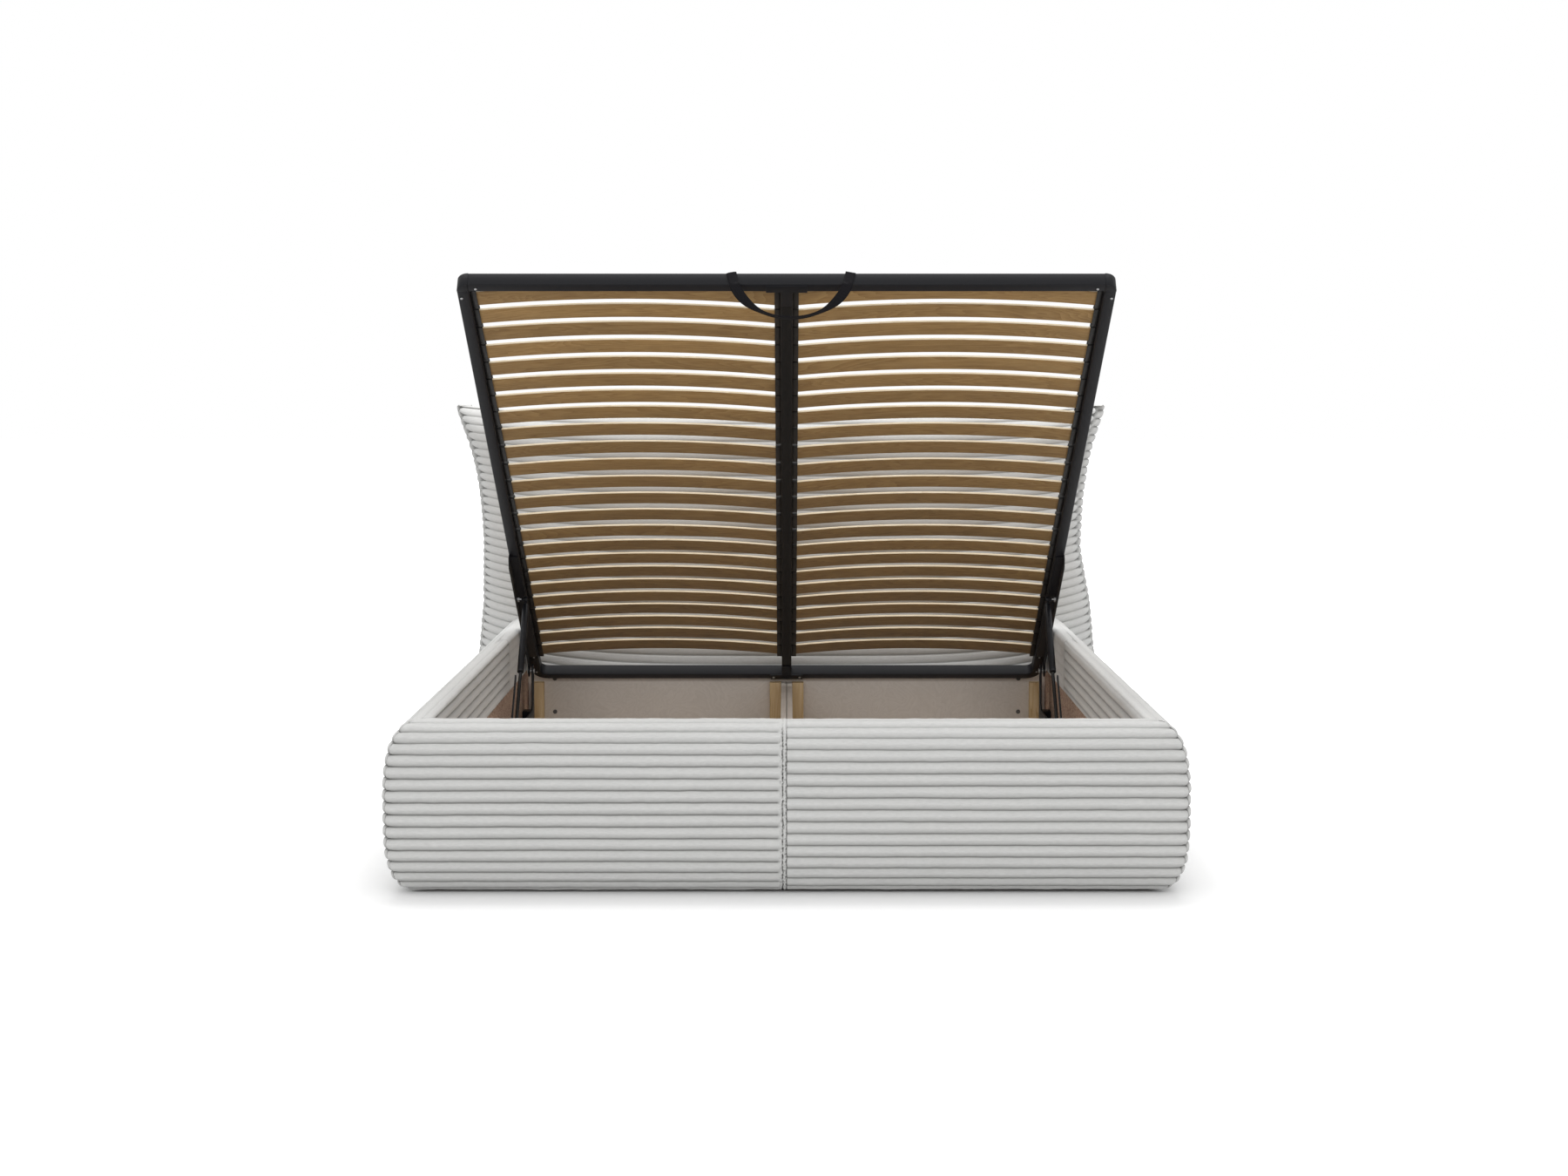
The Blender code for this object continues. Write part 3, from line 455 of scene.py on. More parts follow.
# %% Webbing and the cloth at the back
webbing, tree, shader = start_material("woven_webbing", (0.014, 0.014, 0.016), 0.85, Specular_IOR_Level=0.2)
weave = new_node(tree, "ShaderNodeTexWave", Scale=160.0, Distortion=1.0)
weave.wave_type = "BANDS"
weave.bands_direction = "DIAGONAL"
tree.links.new(pile_coordinates(tree), weave.inputs["Vector"])
thread = ramp(tree, weave.outputs["Fac"], [(0.1, (0.004, 0.004, 0.005)), (0.9, (0.014, 0.013, 0.016))])
paint(tree, shader, thread, weave.outputs["Fac"], 0.5, 0.0005)

cloth_grey = (0.10, 0.10, 0.10)
back_cloth, tree, shader = start_material("back_cloth", cloth_grey, 0.95)
felt = place_group(tree, mottle, Scale=380.0, Amount=0.35)
paint(tree, shader, times(tree, cloth_grey, felt.outputs["Tone"]), felt.outputs["Height"], 0.5, 0.0006)
print("cloth:", webbing.name, back_cloth.name)

# %% [markdown]
# ## Making pieces
# Every new piece is a bmesh that is turned into an object at the origin, rides
# on one of the model's bodies and carries its finishes as materials. Rigid
# pieces whose shape is right are copied from the model with their edges
# rounded a little, because a perfectly sharp edge catches no light.

# %% New pieces
merge_distance = 0.00002
flat_angle, sharp_angle = math.radians(1.5), math.radians(40)
made = {}


def new_piece(name, bm, materials, body, replaces=(), angle=180):
    """Turn a bmesh into a piece that rides on a body and may stand for CAD nodes."""
    mesh = bpy.data.meshes.new(name)
    bm.to_mesh(mesh)
    bm.free()
    for material in materials:
        mesh.materials.append(material)
    mesh.shade_smooth()
    if angle < 180:
        mesh.set_sharp_from_angle(angle=math.radians(angle))
    piece = bpy.data.objects.new(name, mesh)
    scene.collection.objects.link(piece)
    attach(piece, body)
    if replaces:
        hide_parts(*replaces)
    made[name] = len(mesh.polygons)
    return piece


def lifted_piece(name, bm, materials, replaces=(), angle=180):
    """Raise a piece made on the lying frame; it rides on the moving frame."""
    bmesh.ops.transform(bm, matrix=lift, verts=bm.verts)
    return new_piece(name, bm, materials, "lift_frame", replaces, angle)


def thicken(piece, amount):
    """Give a flat piece its thickness, half of it to each side."""
    modifier = piece.modifiers.new("thickness", "SOLIDIFY")
    modifier.thickness = amount
    modifier.offset = 0


def bevel(bm, parts, width, segments, affect="EDGES"):
    """Round some edges, or the corners of a flat shape."""
    bmesh.ops.bevel(bm, geom=parts, offset=width, offset_type="OFFSET", affect=affect, segments=segments,
                    profile=0.5, material=-1, clamp_overlap=True)


def softened(node, width, material):
    """A copy of a rigid CAD piece with its sharp edges rounded; it stands for the node."""
    bm = bmesh.new()
    bm.from_mesh(nodes[node].data)
    bmesh.ops.remove_doubles(bm, verts=bm.verts, dist=merge_distance)
    bmesh.ops.dissolve_limit(bm, angle_limit=flat_angle, verts=bm.verts, edges=bm.edges)
    bevel(bm, [e for e in bm.edges if len(e.link_faces) == 2 and e.calc_face_angle() > sharp_angle], width, 2)
    new_piece(node + "_made", bm, [material], nodes[node]["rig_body"], [node], 35)


def rounded_bar(low, high, radius):
    """A bar between two corners with its long edges rounded, as a bmesh."""
    bm = bmesh.new()
    size = high - low
    bmesh.ops.create_cube(bm, size=1, matrix=Matrix.Translation((low + high) / 2) @ Matrix.Diagonal((*size, 1)))
    longest = max(range(3), key=lambda axis: size[axis])
    edges = [e for e in bm.edges if abs((e.verts[0].co - e.verts[1].co)[longest]) > size[longest] / 2]
    bevel(bm, edges, radius, 3)
    return bm


# %% [markdown]
# ## Boards, battens and brackets
# These keep the model's shape. Each gets rounded edges and its own finish.

# %% Rigid pieces from the model
for side, word in SIDES:
    softened("side_rail_core_" + word, 0.0006, chipboard)
    softened("divider_board_" + word, 0.0006, panel)
    softened("back_panel_" + word, 0.0006, panel)
    softened("floor_panel_" + word, 0.0005, panel)
    for place in ("inner_", "outer_"):
        softened("floor_ledger_" + place + word, 0.001, pine_along)
        softened("head_batten_" + place + word, 0.0015, pine_upright)
    softened("foot_batten_" + word, 0.0015, pine_upright)
    softened("foot_post_" + word, 0.0015, pine_upright)
    softened("rest_pad_" + word, 0.0012, rubber)
    for place in ("foot_", "head_", "headboard_"):
        softened("glide_" + place + word, 0.0015, plastic)
    softened("base_bracket_" + word, 0.0005, coat)
    softened("lift_arm_" + word, 0.0005, coat)
    softened("foot_corner_" + word, 0.0010, coat)
    softened("strut_stay_" + word, 0.0003, coat)
    softened("hinge_bolt_" + word, 0.0003, zinc)
for node in ("footboard_core", "headboard_board"):
    softened(node, 0.0006, chipboard)
for node in ("beam_head_plate", "beam_foot_plate"):
    softened(node, 0.0005, coat)
print("rigid pieces:", len(made))

# %% [markdown]
# ## Tubes of the slatted frame
# The head tube is one rectangular tube bent at both corners, so it is made as a
# bender would: a rounded section is pushed straight, turned about the corner's
# centre, pushed across and turned again. The other tubes are straight bars
# with rounded long edges. All are made lying flat and lifted by one matrix.


# %% Head tube
def rounded_section(width, height, radius):
    """A flat rounded rectangle in the X-Z plane, centred on the origin, as a bmesh."""
    bm = bmesh.new()
    bmesh.ops.create_grid(bm, x_segments=1, y_segments=1, size=0.5,
                          matrix=Matrix.Rotation(math.pi / 2, 4, "X") @ Matrix.Diagonal((width, height, 1, 1)))
    bevel(bm, bm.verts[:], radius, 4, "VERTICES")
    return bm


def push(bm, faces, step):
    """Extrude faces by a step and return the moved ones."""
    result = bmesh.ops.extrude_face_region(bm, geom=faces)["geom"]
    moved = [g for g in result if isinstance(g, bmesh.types.BMVert)]
    bmesh.ops.translate(bm, verts=moved, vec=step)
    bmesh.ops.delete(bm, geom=[f for f in faces if f.is_valid], context="FACES_ONLY")
    return [g for g in result if isinstance(g, bmesh.types.BMFace)]


half_width = mattress_width / 2
middle_x = half_width - tube_width / 2
middle_depth = tube_height / 2
head_corner_radius, head_leg_length = 0.050, 0.060
tube_rounding, beam_rounding, tube_crease = 0.0035, 0.0030, 50
bm = rounded_section(tube_width, tube_height, tube_rounding)
bmesh.ops.translate(bm, verts=bm.verts, vec=on_frame(-middle_x, head_leg_length, middle_depth))
tip = bm.faces[:]
for step, sign in ((Vector((0, head_leg_length - head_corner_radius, 0)), -1),
                   (Vector((mattress_width - 2 * head_corner_radius, 0, 0)), 1)):
    tip = push(bm, tip, step)
    pivot = on_frame(sign * (half_width - head_corner_radius), head_corner_radius, middle_depth)
    swept = bmesh.ops.spin(bm, geom=tip, cent=pivot, axis=(0, 0, -1), angle=math.pi / 2, steps=8)["geom_last"]
    bmesh.ops.delete(bm, geom=[f for f in tip if f.is_valid], context="FACES_ONLY")
    tip = [g for g in swept if isinstance(g, bmesh.types.BMFace)]
push(bm, tip, Vector((0, head_corner_radius - head_leg_length, 0)))
bmesh.ops.remove_doubles(bm, verts=bm.verts, dist=merge_distance)
bmesh.ops.holes_fill(bm, edges=bm.edges, sides=0)
bmesh.ops.recalc_face_normals(bm, faces=bm.faces)
lifted_piece("head_tube_bent", bm, [coat], ["head_tube"], tube_crease)
print("head tube faces:", made["head_tube_bent"])

# %% Foot tube
bm = rounded_bar(on_frame(-half_width + tube_width + gap, mattress_length, tube_height),
                 on_frame(half_width - tube_width - gap, mattress_length - tube_width, 0), tube_rounding)
lifted_piece("foot_tube_made", bm, [coat], ["foot_tube"], tube_crease)
print("foot tube faces:", made["foot_tube_made"])

# %% [markdown]
# ## Slats and their holders
# Each slat is a strip bent upwards in the middle. We start from a cube scaled
# to the strip, cut it into short lengths, lift the middle into the bow and
# round its edges. The outer end sits in a cap on the side tube and the inner
# end in a channel on the centre beam.

# %% Places of the slats
first_slat_share = 0.07725
slat_zones = ((9, 0.0366), (7, 0.04245), (8, 0.03655))
slat_start, slat_end = 0.0183, 0.768
slat_width, slat_thickness, slat_rounding = 0.053, 0.008, 0.0028
slat_bow, slat_end_depth = 0.021, 0.014
slat_reaches = []
share, previous = first_slat_share, None
for count, pitch in slat_zones:
    for _ in range(count):
        share += 0 if previous is None else (previous + pitch) / 2
        previous = pitch
        slat_reaches.append(share * mattress_length)
print("slats a side:", len(slat_reaches), "last at", round(slat_reaches[-1], 3))


# %% One slat
slat_middle, slat_half = (slat_start + slat_end) / 2, (slat_end - slat_start) / 2
least_long_edge = 0.01
bm = bmesh.new()
bmesh.ops.create_cube(bm, size=1, matrix=Matrix.Diagonal((2 * slat_half, slat_width, slat_thickness, 1)))
long_edges = [e for e in bm.edges if abs(e.verts[0].co.x - e.verts[1].co.x) > slat_half]
bmesh.ops.subdivide_edges(bm, edges=long_edges, cuts=15, use_grid_fill=True)
long_edges = [e for e in bm.edges if abs(e.verts[0].co.x - e.verts[1].co.x) > least_long_edge]
bevel(bm, long_edges, slat_rounding, 3)
for f in bm.faces:
    f.normal_update()
    f.material_index = 1 if abs(f.normal.y) > 0.8 else 0
for v in bm.verts:
    v.co.z += slat_bow * (1 - (v.co.x / slat_half) ** 2)
slat_mesh = bpy.data.meshes.new("slat_pattern")
bm.to_mesh(slat_mesh)
bm.free()
print("one slat:", len(slat_mesh.polygons), "faces")

# %% Both columns
random.seed(7)
for side, word in SIDES:
    bm = bmesh.new()
    tone_and_shade_layer = bm.verts.layers.float.new("tone")
    for reach in slat_reaches:
        before = len(bm.verts)
        bm.from_mesh(slat_mesh)
        bm.verts.ensure_lookup_table()
        added = bm.verts[before:]
        bmesh.ops.translate(bm, verts=added, vec=on_frame(side * slat_middle, reach, slat_end_depth))
        # A random tone per slat times painted shade: slats near the head end, deep in the box, are painted darker.
        tone = random.uniform(0.88, 1.12) * (0.62 + 0.32 * reach / mattress_length)
        for v in added:
            v[tone_and_shade_layer] = tone
    lifted_piece("slats_" + word, bm, [slat_wood, slat_edge], ["slat_bank_" + word], 40)
    bm = rounded_bar(on_frame(side * middle_x - tube_width / 2, mattress_length - tube_width - gap, tube_height),
                     on_frame(side * middle_x + tube_width / 2, head_leg_length + gap, 0), tube_rounding)
    lifted_piece("side_tube_" + word, bm, [coat], ["slat_bank_" + word], tube_crease)
print("slat faces:", made["slats_left"])

# %% Caps on the side tubes and channels on the beam
holder_length, holder_reach, holder_gap, holder_wall = 0.0690, 0.012, 0.003, 0.0028
mouth_rim, mouth_depth, holder_rounding = 0.0018, 0.008, 0.0009
holder_top = slat_end_depth - slat_thickness / 2 - 2 * slat_bow / slat_half * holder_reach - holder_wall
holder_bottom = slat_end_depth + slat_thickness / 2 + holder_wall


def holder(bm, side, near, far, reach, open_near):
    """A moulded pocket for a slat's end: a rounded box with its mouth pushed in."""
    low = on_frame(side * near, reach + holder_length / 2, holder_bottom)
    high = on_frame(side * far, reach - holder_length / 2, holder_top)
    size = high - low
    box = bmesh.ops.create_cube(bm, size=1, matrix=Matrix.Translation((low + high) / 2)
                                @ Matrix.Diagonal((abs(size.x), size.y, size.z, 1)))
    mouth_sign = -side if open_near else side
    faces = {f for v in box["verts"] for f in v.link_faces}
    mouth = [f for f in faces if f.normal.x * mouth_sign > 0.9]
    rims = list({e for f in faces for e in f.edges})
    bmesh.ops.inset_region(bm, faces=mouth, thickness=mouth_rim, depth=0)
    bmesh.ops.translate(bm, verts=mouth[0].verts[:], vec=Vector((-mouth_sign * mouth_depth, 0, 0)))
    bevel(bm, [e for e in rims if e.is_valid], holder_rounding, 2)


for side, word in SIDES:
    bm = bmesh.new()
    inner = half_width - tube_width
    for reach in slat_reaches:
        holder(bm, side, inner - holder_gap - holder_reach, inner, reach, True)
    bmesh.ops.recalc_face_normals(bm, faces=bm.faces)
    lifted_piece("slat_caps_" + word, bm, [plastic], ["slat_bank_" + word], 40)
bm = bmesh.new()
for side, word in SIDES:
    for reach in slat_reaches:
        holder(bm, side, beam_width / 2, beam_width / 2 + holder_gap + holder_reach, reach, False)
bmesh.ops.recalc_face_normals(bm, faces=bm.faces)
lifted_piece("beam_holders", bm, [plastic], ["centre_beam"], 40)
bm = rounded_bar(on_frame(-beam_width / 2, mattress_length - tube_width - gap, tube_height),
                 on_frame(beam_width / 2, tube_width + gap, tube_height - beam_width), beam_rounding)
lifted_piece("beam_bar", bm, [beam_coat], ["centre_beam"], tube_crease)
print("holders:", made["beam_holders"])

# %% [markdown]
# ## Gas struts
# A strut is turned on a lathe in real life, so we spin a profile about its
# axis: the rod, the cylinder with its rolled end, and the flat eyes at both
# ends that sit on the studs.

# %% Turned pieces
strut_foot = Vector((0, 0.195, 0.110))
strut_head = Vector((0, 0.5460, 0.5015))
strut_x = 0.770
up_strut = (strut_head - strut_foot).normalized()
cylinder_end = 0.020 + 0.240


def turned(bm, profile, origin, axis, steps=28):
    """Spin (distance, radius) pairs about an axis through the origin point."""
    axis = axis.normalized()
    across = axis.orthogonal().normalized()
    row = [bm.verts.new(origin + axis * distance + across * radius) for distance, radius in profile]
    edges = [bm.edges.new(pair) for pair in zip(row, row[1:])]
    bmesh.ops.spin(bm, geom=row + edges, cent=origin, axis=axis, angle=2 * math.pi, steps=steps, use_merge=True)


def eye(bm, centre):
    """The flat ring at a strut's end, with a hole for the stud."""
    turned(bm, [(-0.004, 0.0047), (-0.004, 0.0085), (-0.0035, 0.009), (0.0035, 0.009), (0.004, 0.0085),
                (0.004, 0.0047), (-0.004, 0.0047)], centre, Vector((1, 0, 0)), 24)


def close(bm):
    """Join the doubled vertices of turned pieces and point their faces outwards."""
    bmesh.ops.remove_doubles(bm, verts=bm.verts, dist=merge_distance)
    bmesh.ops.recalc_face_normals(bm, faces=bm.faces)


for side, word in SIDES:
    foot = Vector((side * strut_x, strut_foot.y, strut_foot.z))
    head = Vector((side * strut_x, strut_head.y, strut_head.z))
    bm = bmesh.new()
    turned(bm, [(0.0050, 0), (0.0050, 0.0035), (0.014, 0.0035), (0.016, 0.005), (0.2795, 0.005), (0.2799, 0.0046),
                (0.2799, 0)], foot, up_strut)
    eye(bm, foot)
    close(bm)
    new_piece("gas_rod_" + word, bm, [rod_steel], "strut_rod_" + word, ["strut_rod_" + word], 40)
    bm = bmesh.new()
    turned(bm, [(0.0050, 0), (0.0050, 0.0035), (0.0145, 0.0037), (0.0165, 0.0070), (0.0200, 0.0094), (0.0215, 0.0100),
                (cylinder_end - 0.008, 0.0100), (cylinder_end - 0.0065, 0.0094), (cylinder_end - 0.005, 0.0100),
                (cylinder_end - 0.001, 0.0098), (cylinder_end, 0.0088), (cylinder_end, 0.0056),
                (cylinder_end - 0.010, 0.0056), (cylinder_end - 0.010, 0)], head, -up_strut)
    eye(bm, head)
    close(bm)
    new_piece("gas_cylinder_" + word, bm, [coat], "strut_cylinder_" + word, ["strut_cylinder_" + word], 40)
print("strut faces:", made["gas_rod_left"], made["gas_cylinder_left"])

# %% [markdown]
# ## Pull strap
# The strap is a flat webbing band whose ends are sewn over the foot tube. It
# hangs between them and turns edge-on under its own weight. It is a strip
# pushed from station to station, so its weave can follow the strap.

# %% Strap
strap_width, strap_thickness, strap_half_span, strap_sag = 0.025, 0.0018, 0.137, 0.0796
strap_first, strap_turn, strap_twist = math.radians(18), math.radians(66), 0.42 * math.pi
strap_lean, strap_shift, strap_steps = 0.22, Vector((0.0105, 0, 0)), 40
hem_depths, tip_width = (-0.0008, 0.0006, 0.004, 0.012, 0.020, 0.028, 0.035), 0.55
face = mattress_length + gap + 0.001


def strap_station(angle):
    """Place, width direction and normal at an angle round one half of the hanging loop."""
    across = Vector((1, 0, 0))
    down = Vector((0, math.sin(lift_angle), -math.cos(lift_angle)))
    forward = down.cross(across)
    start = on_frame(0, face, tube_height + 0.002)
    wide, deep = strap_half_span / math.cos(strap_first), strap_sag / (1 - math.sin(strap_first))
    place = start - across * wide * math.cos(angle) + down * deep * (math.sin(angle) - math.sin(strap_first))
    along = (across * wide * math.sin(angle) + down * deep * math.cos(angle)).normalized()
    share = min(1, (angle - strap_first) / (strap_turn - strap_first))
    turn = strap_twist * share ** 2 * (3 - 2 * share)
    width = forward.cross(along) * math.cos(turn) + forward * math.sin(turn)
    return place, width, along.cross(width)


stations = []
lean = Vector((strap_lean, 0, -1)).normalized()
for depth in hem_depths:
    place = on_frame(-strap_half_span - strap_lean * (hem_depths[-1] - depth), face, depth)
    stations.append((place, Vector((-lean.z, 0, lean.x)), Vector((0, -1, 0))))
stations += [strap_station(strap_first + (math.pi / 2 - strap_first) * k / strap_steps) for k in range(strap_steps + 1)]
flip = Matrix.Diagonal((-1, 1, 1))
stations += [(flip @ place, flip @ width, flip @ thick) for place, width, thick in reversed(stations[:-1])]
lengths = [0.0]
for first, second in zip(stations, stations[1:]):
    lengths.append(lengths[-1] + (second[0] - first[0]).length)
last_row = len(stations) - 1
bm = bmesh.new()
bmesh.ops.create_grid(bm, x_segments=4, y_segments=last_row, size=0.5)
pile = bm.loops.layers.uv.new("pile")
for f in bm.faces:
    for loop in f.loops:
        row = round((loop.vert.co.y + 0.5) * last_row)
        loop[pile].uv = (lengths[row], (loop.vert.co.x + 0.5) * strap_width)
for v in bm.verts:
    place, width, thick = stations[round((v.co.y + 0.5) * last_row)]
    rounding = tip_width if v.co.y in (-0.5, 0.5) else 1
    v.co = place + strap_shift + width * strap_width * v.co.x * rounding
strap = lifted_piece("strap_webbing", bm, [webbing], ["pull_strap"])
thicken(strap, strap_thickness)
print("strap length:", round(lengths[-1], 3), "m")

# %% [markdown]
# ## Fasteners
# Small screws and bolts hold the frame together. All are turned profiles:
# a low dome with a dimple for the driver, a hexagon nut on each strut stud and
# round cover caps on the back panels of the box.

# %% Screws and bolt heads
PAN = [(0.0, 0.0036), (0.0008, 0.0036), (0.0017, 0.0028), (0.0021, 0.0016), (0.0012, 0.0008), (0.0012, 0)]
DISC = [(0.0, 0.0068), (0.0012, 0.0068), (0.0020, 0.0060), (0.0022, 0.0)]
NUT = [(0, 0.0075), (0.0050, 0.0075), (0.0055, 0.0068), (0.0055, 0.0040), (0.0115, 0.0040), (0.0120, 0)]
tube_screws = ((0.7530, 1.9813, 1.0), (0.7910, 1.9445, 1.0), (0.7850, 0.0455, 1.0), (0.7855, 0.1385, 0.9))
plate_screw, plate_thickness = (0.0409, 0.0150, 1.1), 0.0030
arm_face, cap_place = 0.7965, (0.734, 0.9987)


def stud(bm, origin, axis, profile, scale=1.0, steps=16):
    """A turned fastener with its head pointing along an axis."""
    turned(bm, [(distance * scale, radius * scale) for distance, radius in profile], origin, Vector(axis), steps)


bm = bmesh.new()
for side, word in SIDES:
    for x, reach, size in tube_screws:
        stud(bm, on_frame(side * x, reach, tube_height), (0, 0, -1), PAN, size)
    x, reach, size = plate_screw
    stud(bm, on_frame(side * x, reach, tube_height + plate_thickness), (0, 0, -1), PAN, size)
close(bm)
lifted_piece("frame_screws", bm, [zinc], (), 40)

bm = bmesh.new()
for side, word in SIDES:
    stud(bm, on_frame(side * arm_face, 0.7200, 0.0310), (-side, 0, 0), PAN, 0.9)
    stud(bm, on_frame(side * arm_face, 0.5205, 0.0500), (-side, 0, 0), NUT, 1.0, 6)
close(bm)
lifted_piece("arm_bolts", bm, [zinc], (), 30)

bm = bmesh.new()
for side, word in SIDES:
    for height in (0.204, 0.098):
        stud(bm, Vector((side * cap_place[0], cap_place[1], height)), (0, -1, 0), DISC, 1.0, 24)
close(bm)
new_piece("panel_caps", bm, [cap_grey], "base", (), 40)
print("fasteners:", made["frame_screws"] + made["arm_bolts"] + made["panel_caps"], "faces")

# %% [markdown]
# ## Padded cord covers
# The walls of the box are boards wrapped in foam and jumbo cord. One section
# is enough for all of them: up the inner face, over the top and down the
# outside. A flat grid is bent round that section and pushed along the wall.
# Its rows of ribs are pressed in by the groove between them, each rib wanders
# a little, and near a seam the thread pulls the cloth in while the ribs stay
# proud, which gives the scalloped line of the real seams. The ribs are shaped
# in code and not by a cloth simulation, so that their rows stay where the
# photograph has them.

# %% Smooth section of a padded wall
lap = core_outer + gap
wall_samples = 14
rib_depth, rib_pitch = 0.0050, 0.0268
corner_share = 0.30
roll_steps, side_steps = 12, 240
upper_power, lower_power = 3.2, 3.7


def section_path():
    """Points (outwards, up) round the section, and their distances along it."""
    points = [(0.0, flap_bottom)]
    for k in range(roll_steps + 1):
        angle = math.radians(180 - 90 * k / roll_steps)
        points.append((inner_roll + inner_roll * math.cos(angle), wall_top - inner_roll + inner_roll * math.sin(angle)))
    middle, half = (wall_top + cover_bottom) / 2, (wall_top - cover_bottom) / 2
    for k in range(side_steps + 1):
        angle = math.pi / 2 - math.pi * k / side_steps
        power = upper_power if angle > 0 else lower_power
        height = math.copysign(abs(math.sin(angle)) ** (2 / power), angle)
        points.append((lap + (wall_depth - lap) * math.cos(angle), middle + half * height))
    points = np.array(points)
    lengths = np.concatenate([[0], np.cumsum(np.hypot(*np.diff(points, axis=0).T))])
    return points, lengths


wall_points, wall_lengths = section_path()
wall_ribs = round(wall_lengths[-1] / rib_pitch)
wall_pitch = wall_lengths[-1] / wall_ribs
print("wall section:", round(wall_lengths[-1], 3), "m,", wall_ribs, "ribs of", round(wall_pitch * 1000, 1), "mm")


# %% Press the ribs into a section
def along_path(points, lengths, distance):
    """Place and inward direction at distances along a smooth path of 2-D points."""
    def read(where):
        where = np.clip(where, 0, lengths[-1])
        return np.stack([np.interp(where, lengths, points[:, k]) for k in (0, 1)], axis=-1)

    reach = 0.002
    tangent = read(distance + reach) - read(distance - reach)
    tangent /= np.linalg.norm(tangent, axis=-1, keepdims=True)
    return read(distance), np.stack([tangent[..., 1], -tangent[..., 0]], axis=-1)


def rough(first, second, seed, size, amount):
    """Noise over two coordinates, the same on every run."""
    return np.array([amount * noise.noise(Vector((a / size[0], b / size[1], seed))) for a, b in zip(first, second)])


def crest_of(phase):
    """How high a rib stands: 0 in the narrow groove, 1 on the rounded crest."""
    part = np.asarray(phase) % 1
    off = np.abs(2 * part - 1)
    return np.where(part < 0.5, 1 - 0.35 * off ** 2 - 0.65 * off ** 16, 1 - 0.55 * off ** 2 - 0.45 * off ** 11)


def lower_half_shade_of(phase):
    """Painted shade on the lower half of each rib, which faces away from the light above: 0 above, 1 below."""
    return np.clip((np.asarray(phase) % 1 - 0.48) / 0.16, 0, 1)


print("ribs pressed", rib_depth * 1000, "mm deep")


# %% Bend a grid into a ribbed sheet
def ribbed_sheet(points, uvs, grooves):
    """A grid whose rows run along the wall and whose columns run round the section, closed."""
    rows, columns = grooves.shape
    bm = bmesh.new()
    bmesh.ops.create_grid(bm, x_segments=columns - 1, y_segments=rows - 1, size=0.5)
    pile = bm.loops.layers.uv.new("pile")
    # This layer carries each point's painted shade to the cord material.
    groove = bm.verts.layers.float.new("groove")
    cell = {v: (round((v.co.y + 0.5) * (rows - 1)), round((v.co.x + 0.5) * (columns - 1))) for v in bm.verts}
    for f in bm.faces:
        for loop in f.loops:
            loop[pile].uv = uvs[cell[loop.vert]]
    for v, place in cell.items():
        v.co = points[place]
        v[groove] = grooves[place]
    bmesh.ops.remove_doubles(bm, verts=bm.verts, dist=0.00001)
    bmesh.ops.holes_fill(bm, edges=[e for e in bm.edges if len(e.link_faces) == 1], sides=0)
    bmesh.ops.recalc_face_normals(bm, faces=bm.faces)
    if bm.calc_volume(signed=True) < 0:
        bmesh.ops.reverse_faces(bm, faces=bm.faces)
    return bm


print("sheet helper ready")


# %% How a seam pulls the cloth in
def near(distance, reach):
    """1 at a seam, falling to 0 at a distance from it."""
    return np.clip(1 - distance / reach, 0, 1)


def hump(offset, width):
    """1 where the offset is 0, falling off on both sides like a bell."""
    return np.exp(-(offset / width) ** 2)


def mitre_pull(distance, crest):
    """At the mitre the thread draws the grooves in while the ribs' ends stay proud."""
    inset = 0.0050 * (1 - crest) * near(distance, 0.030) ** 1.3 + 0.0022 * near(distance, 0.006) ** 2
    return inset - 0.0012 * crest * near(distance, 0.040)


def middle_seam(side, distance, crest, along, seed):
    """The middle seam: ribs run up to it on the right; on the left a crinkled band and a gutter lie between.

    Return how much of the ribs is kept, how far the cloth is pulled in and how much painted shade it gets.
    """
    edge = near(distance, 0.0016)
    if side > 0:
        # On the right only the seam's edge is painted with shade.
        return np.ones_like(distance), 0.0040 * near(distance + 0.0015 * crest, 0.0042) ** 2, 0.75 * edge

    def rough_along(step, size, amount):
        return rough(along * 0, along, seed + step, (1, size), amount)

    wander = rough_along(0, 0.005, 0.0014) + rough_along(2, 0.020, 0.0016)
    bite = np.clip(0.95 + rough_along(4, 0.009, 1.3), 0.3, 1.5)
    gutter = bite * hump(distance - 0.0088 - wander, 0.0012)
    kept = np.clip((distance - 0.0105 - 0.003 * (1 - crest)) / 0.008, 0, 1)
    second = 0.3 * hump(distance - 0.0150 + wander, 0.0011) * (1 - kept)
    crinkle = rough(distance, along, seed + 6, (0.004, 0.0045), 0.0050) * near(distance, 0.017) ** 0.5
    inset = 0.0024 * (1 - kept) - 0.0020 * hump(distance - 0.0045, 0.0026) + 0.0052 * gutter
    inset += 0.0016 * second + 0.0030 * edge + crinkle
    # The last value is painted shade: in the gutter, along the second line, at the seam's edge and in the crinkles.
    return kept, inset, np.clip(1.1 * gutter + 0.35 * second + 0.7 * edge + 260 * crinkle, 0, 1)


print("the mitre pulls a groove in by", round(float(mitre_pull(0.0, 0.0)) * 1000, 1), "mm")


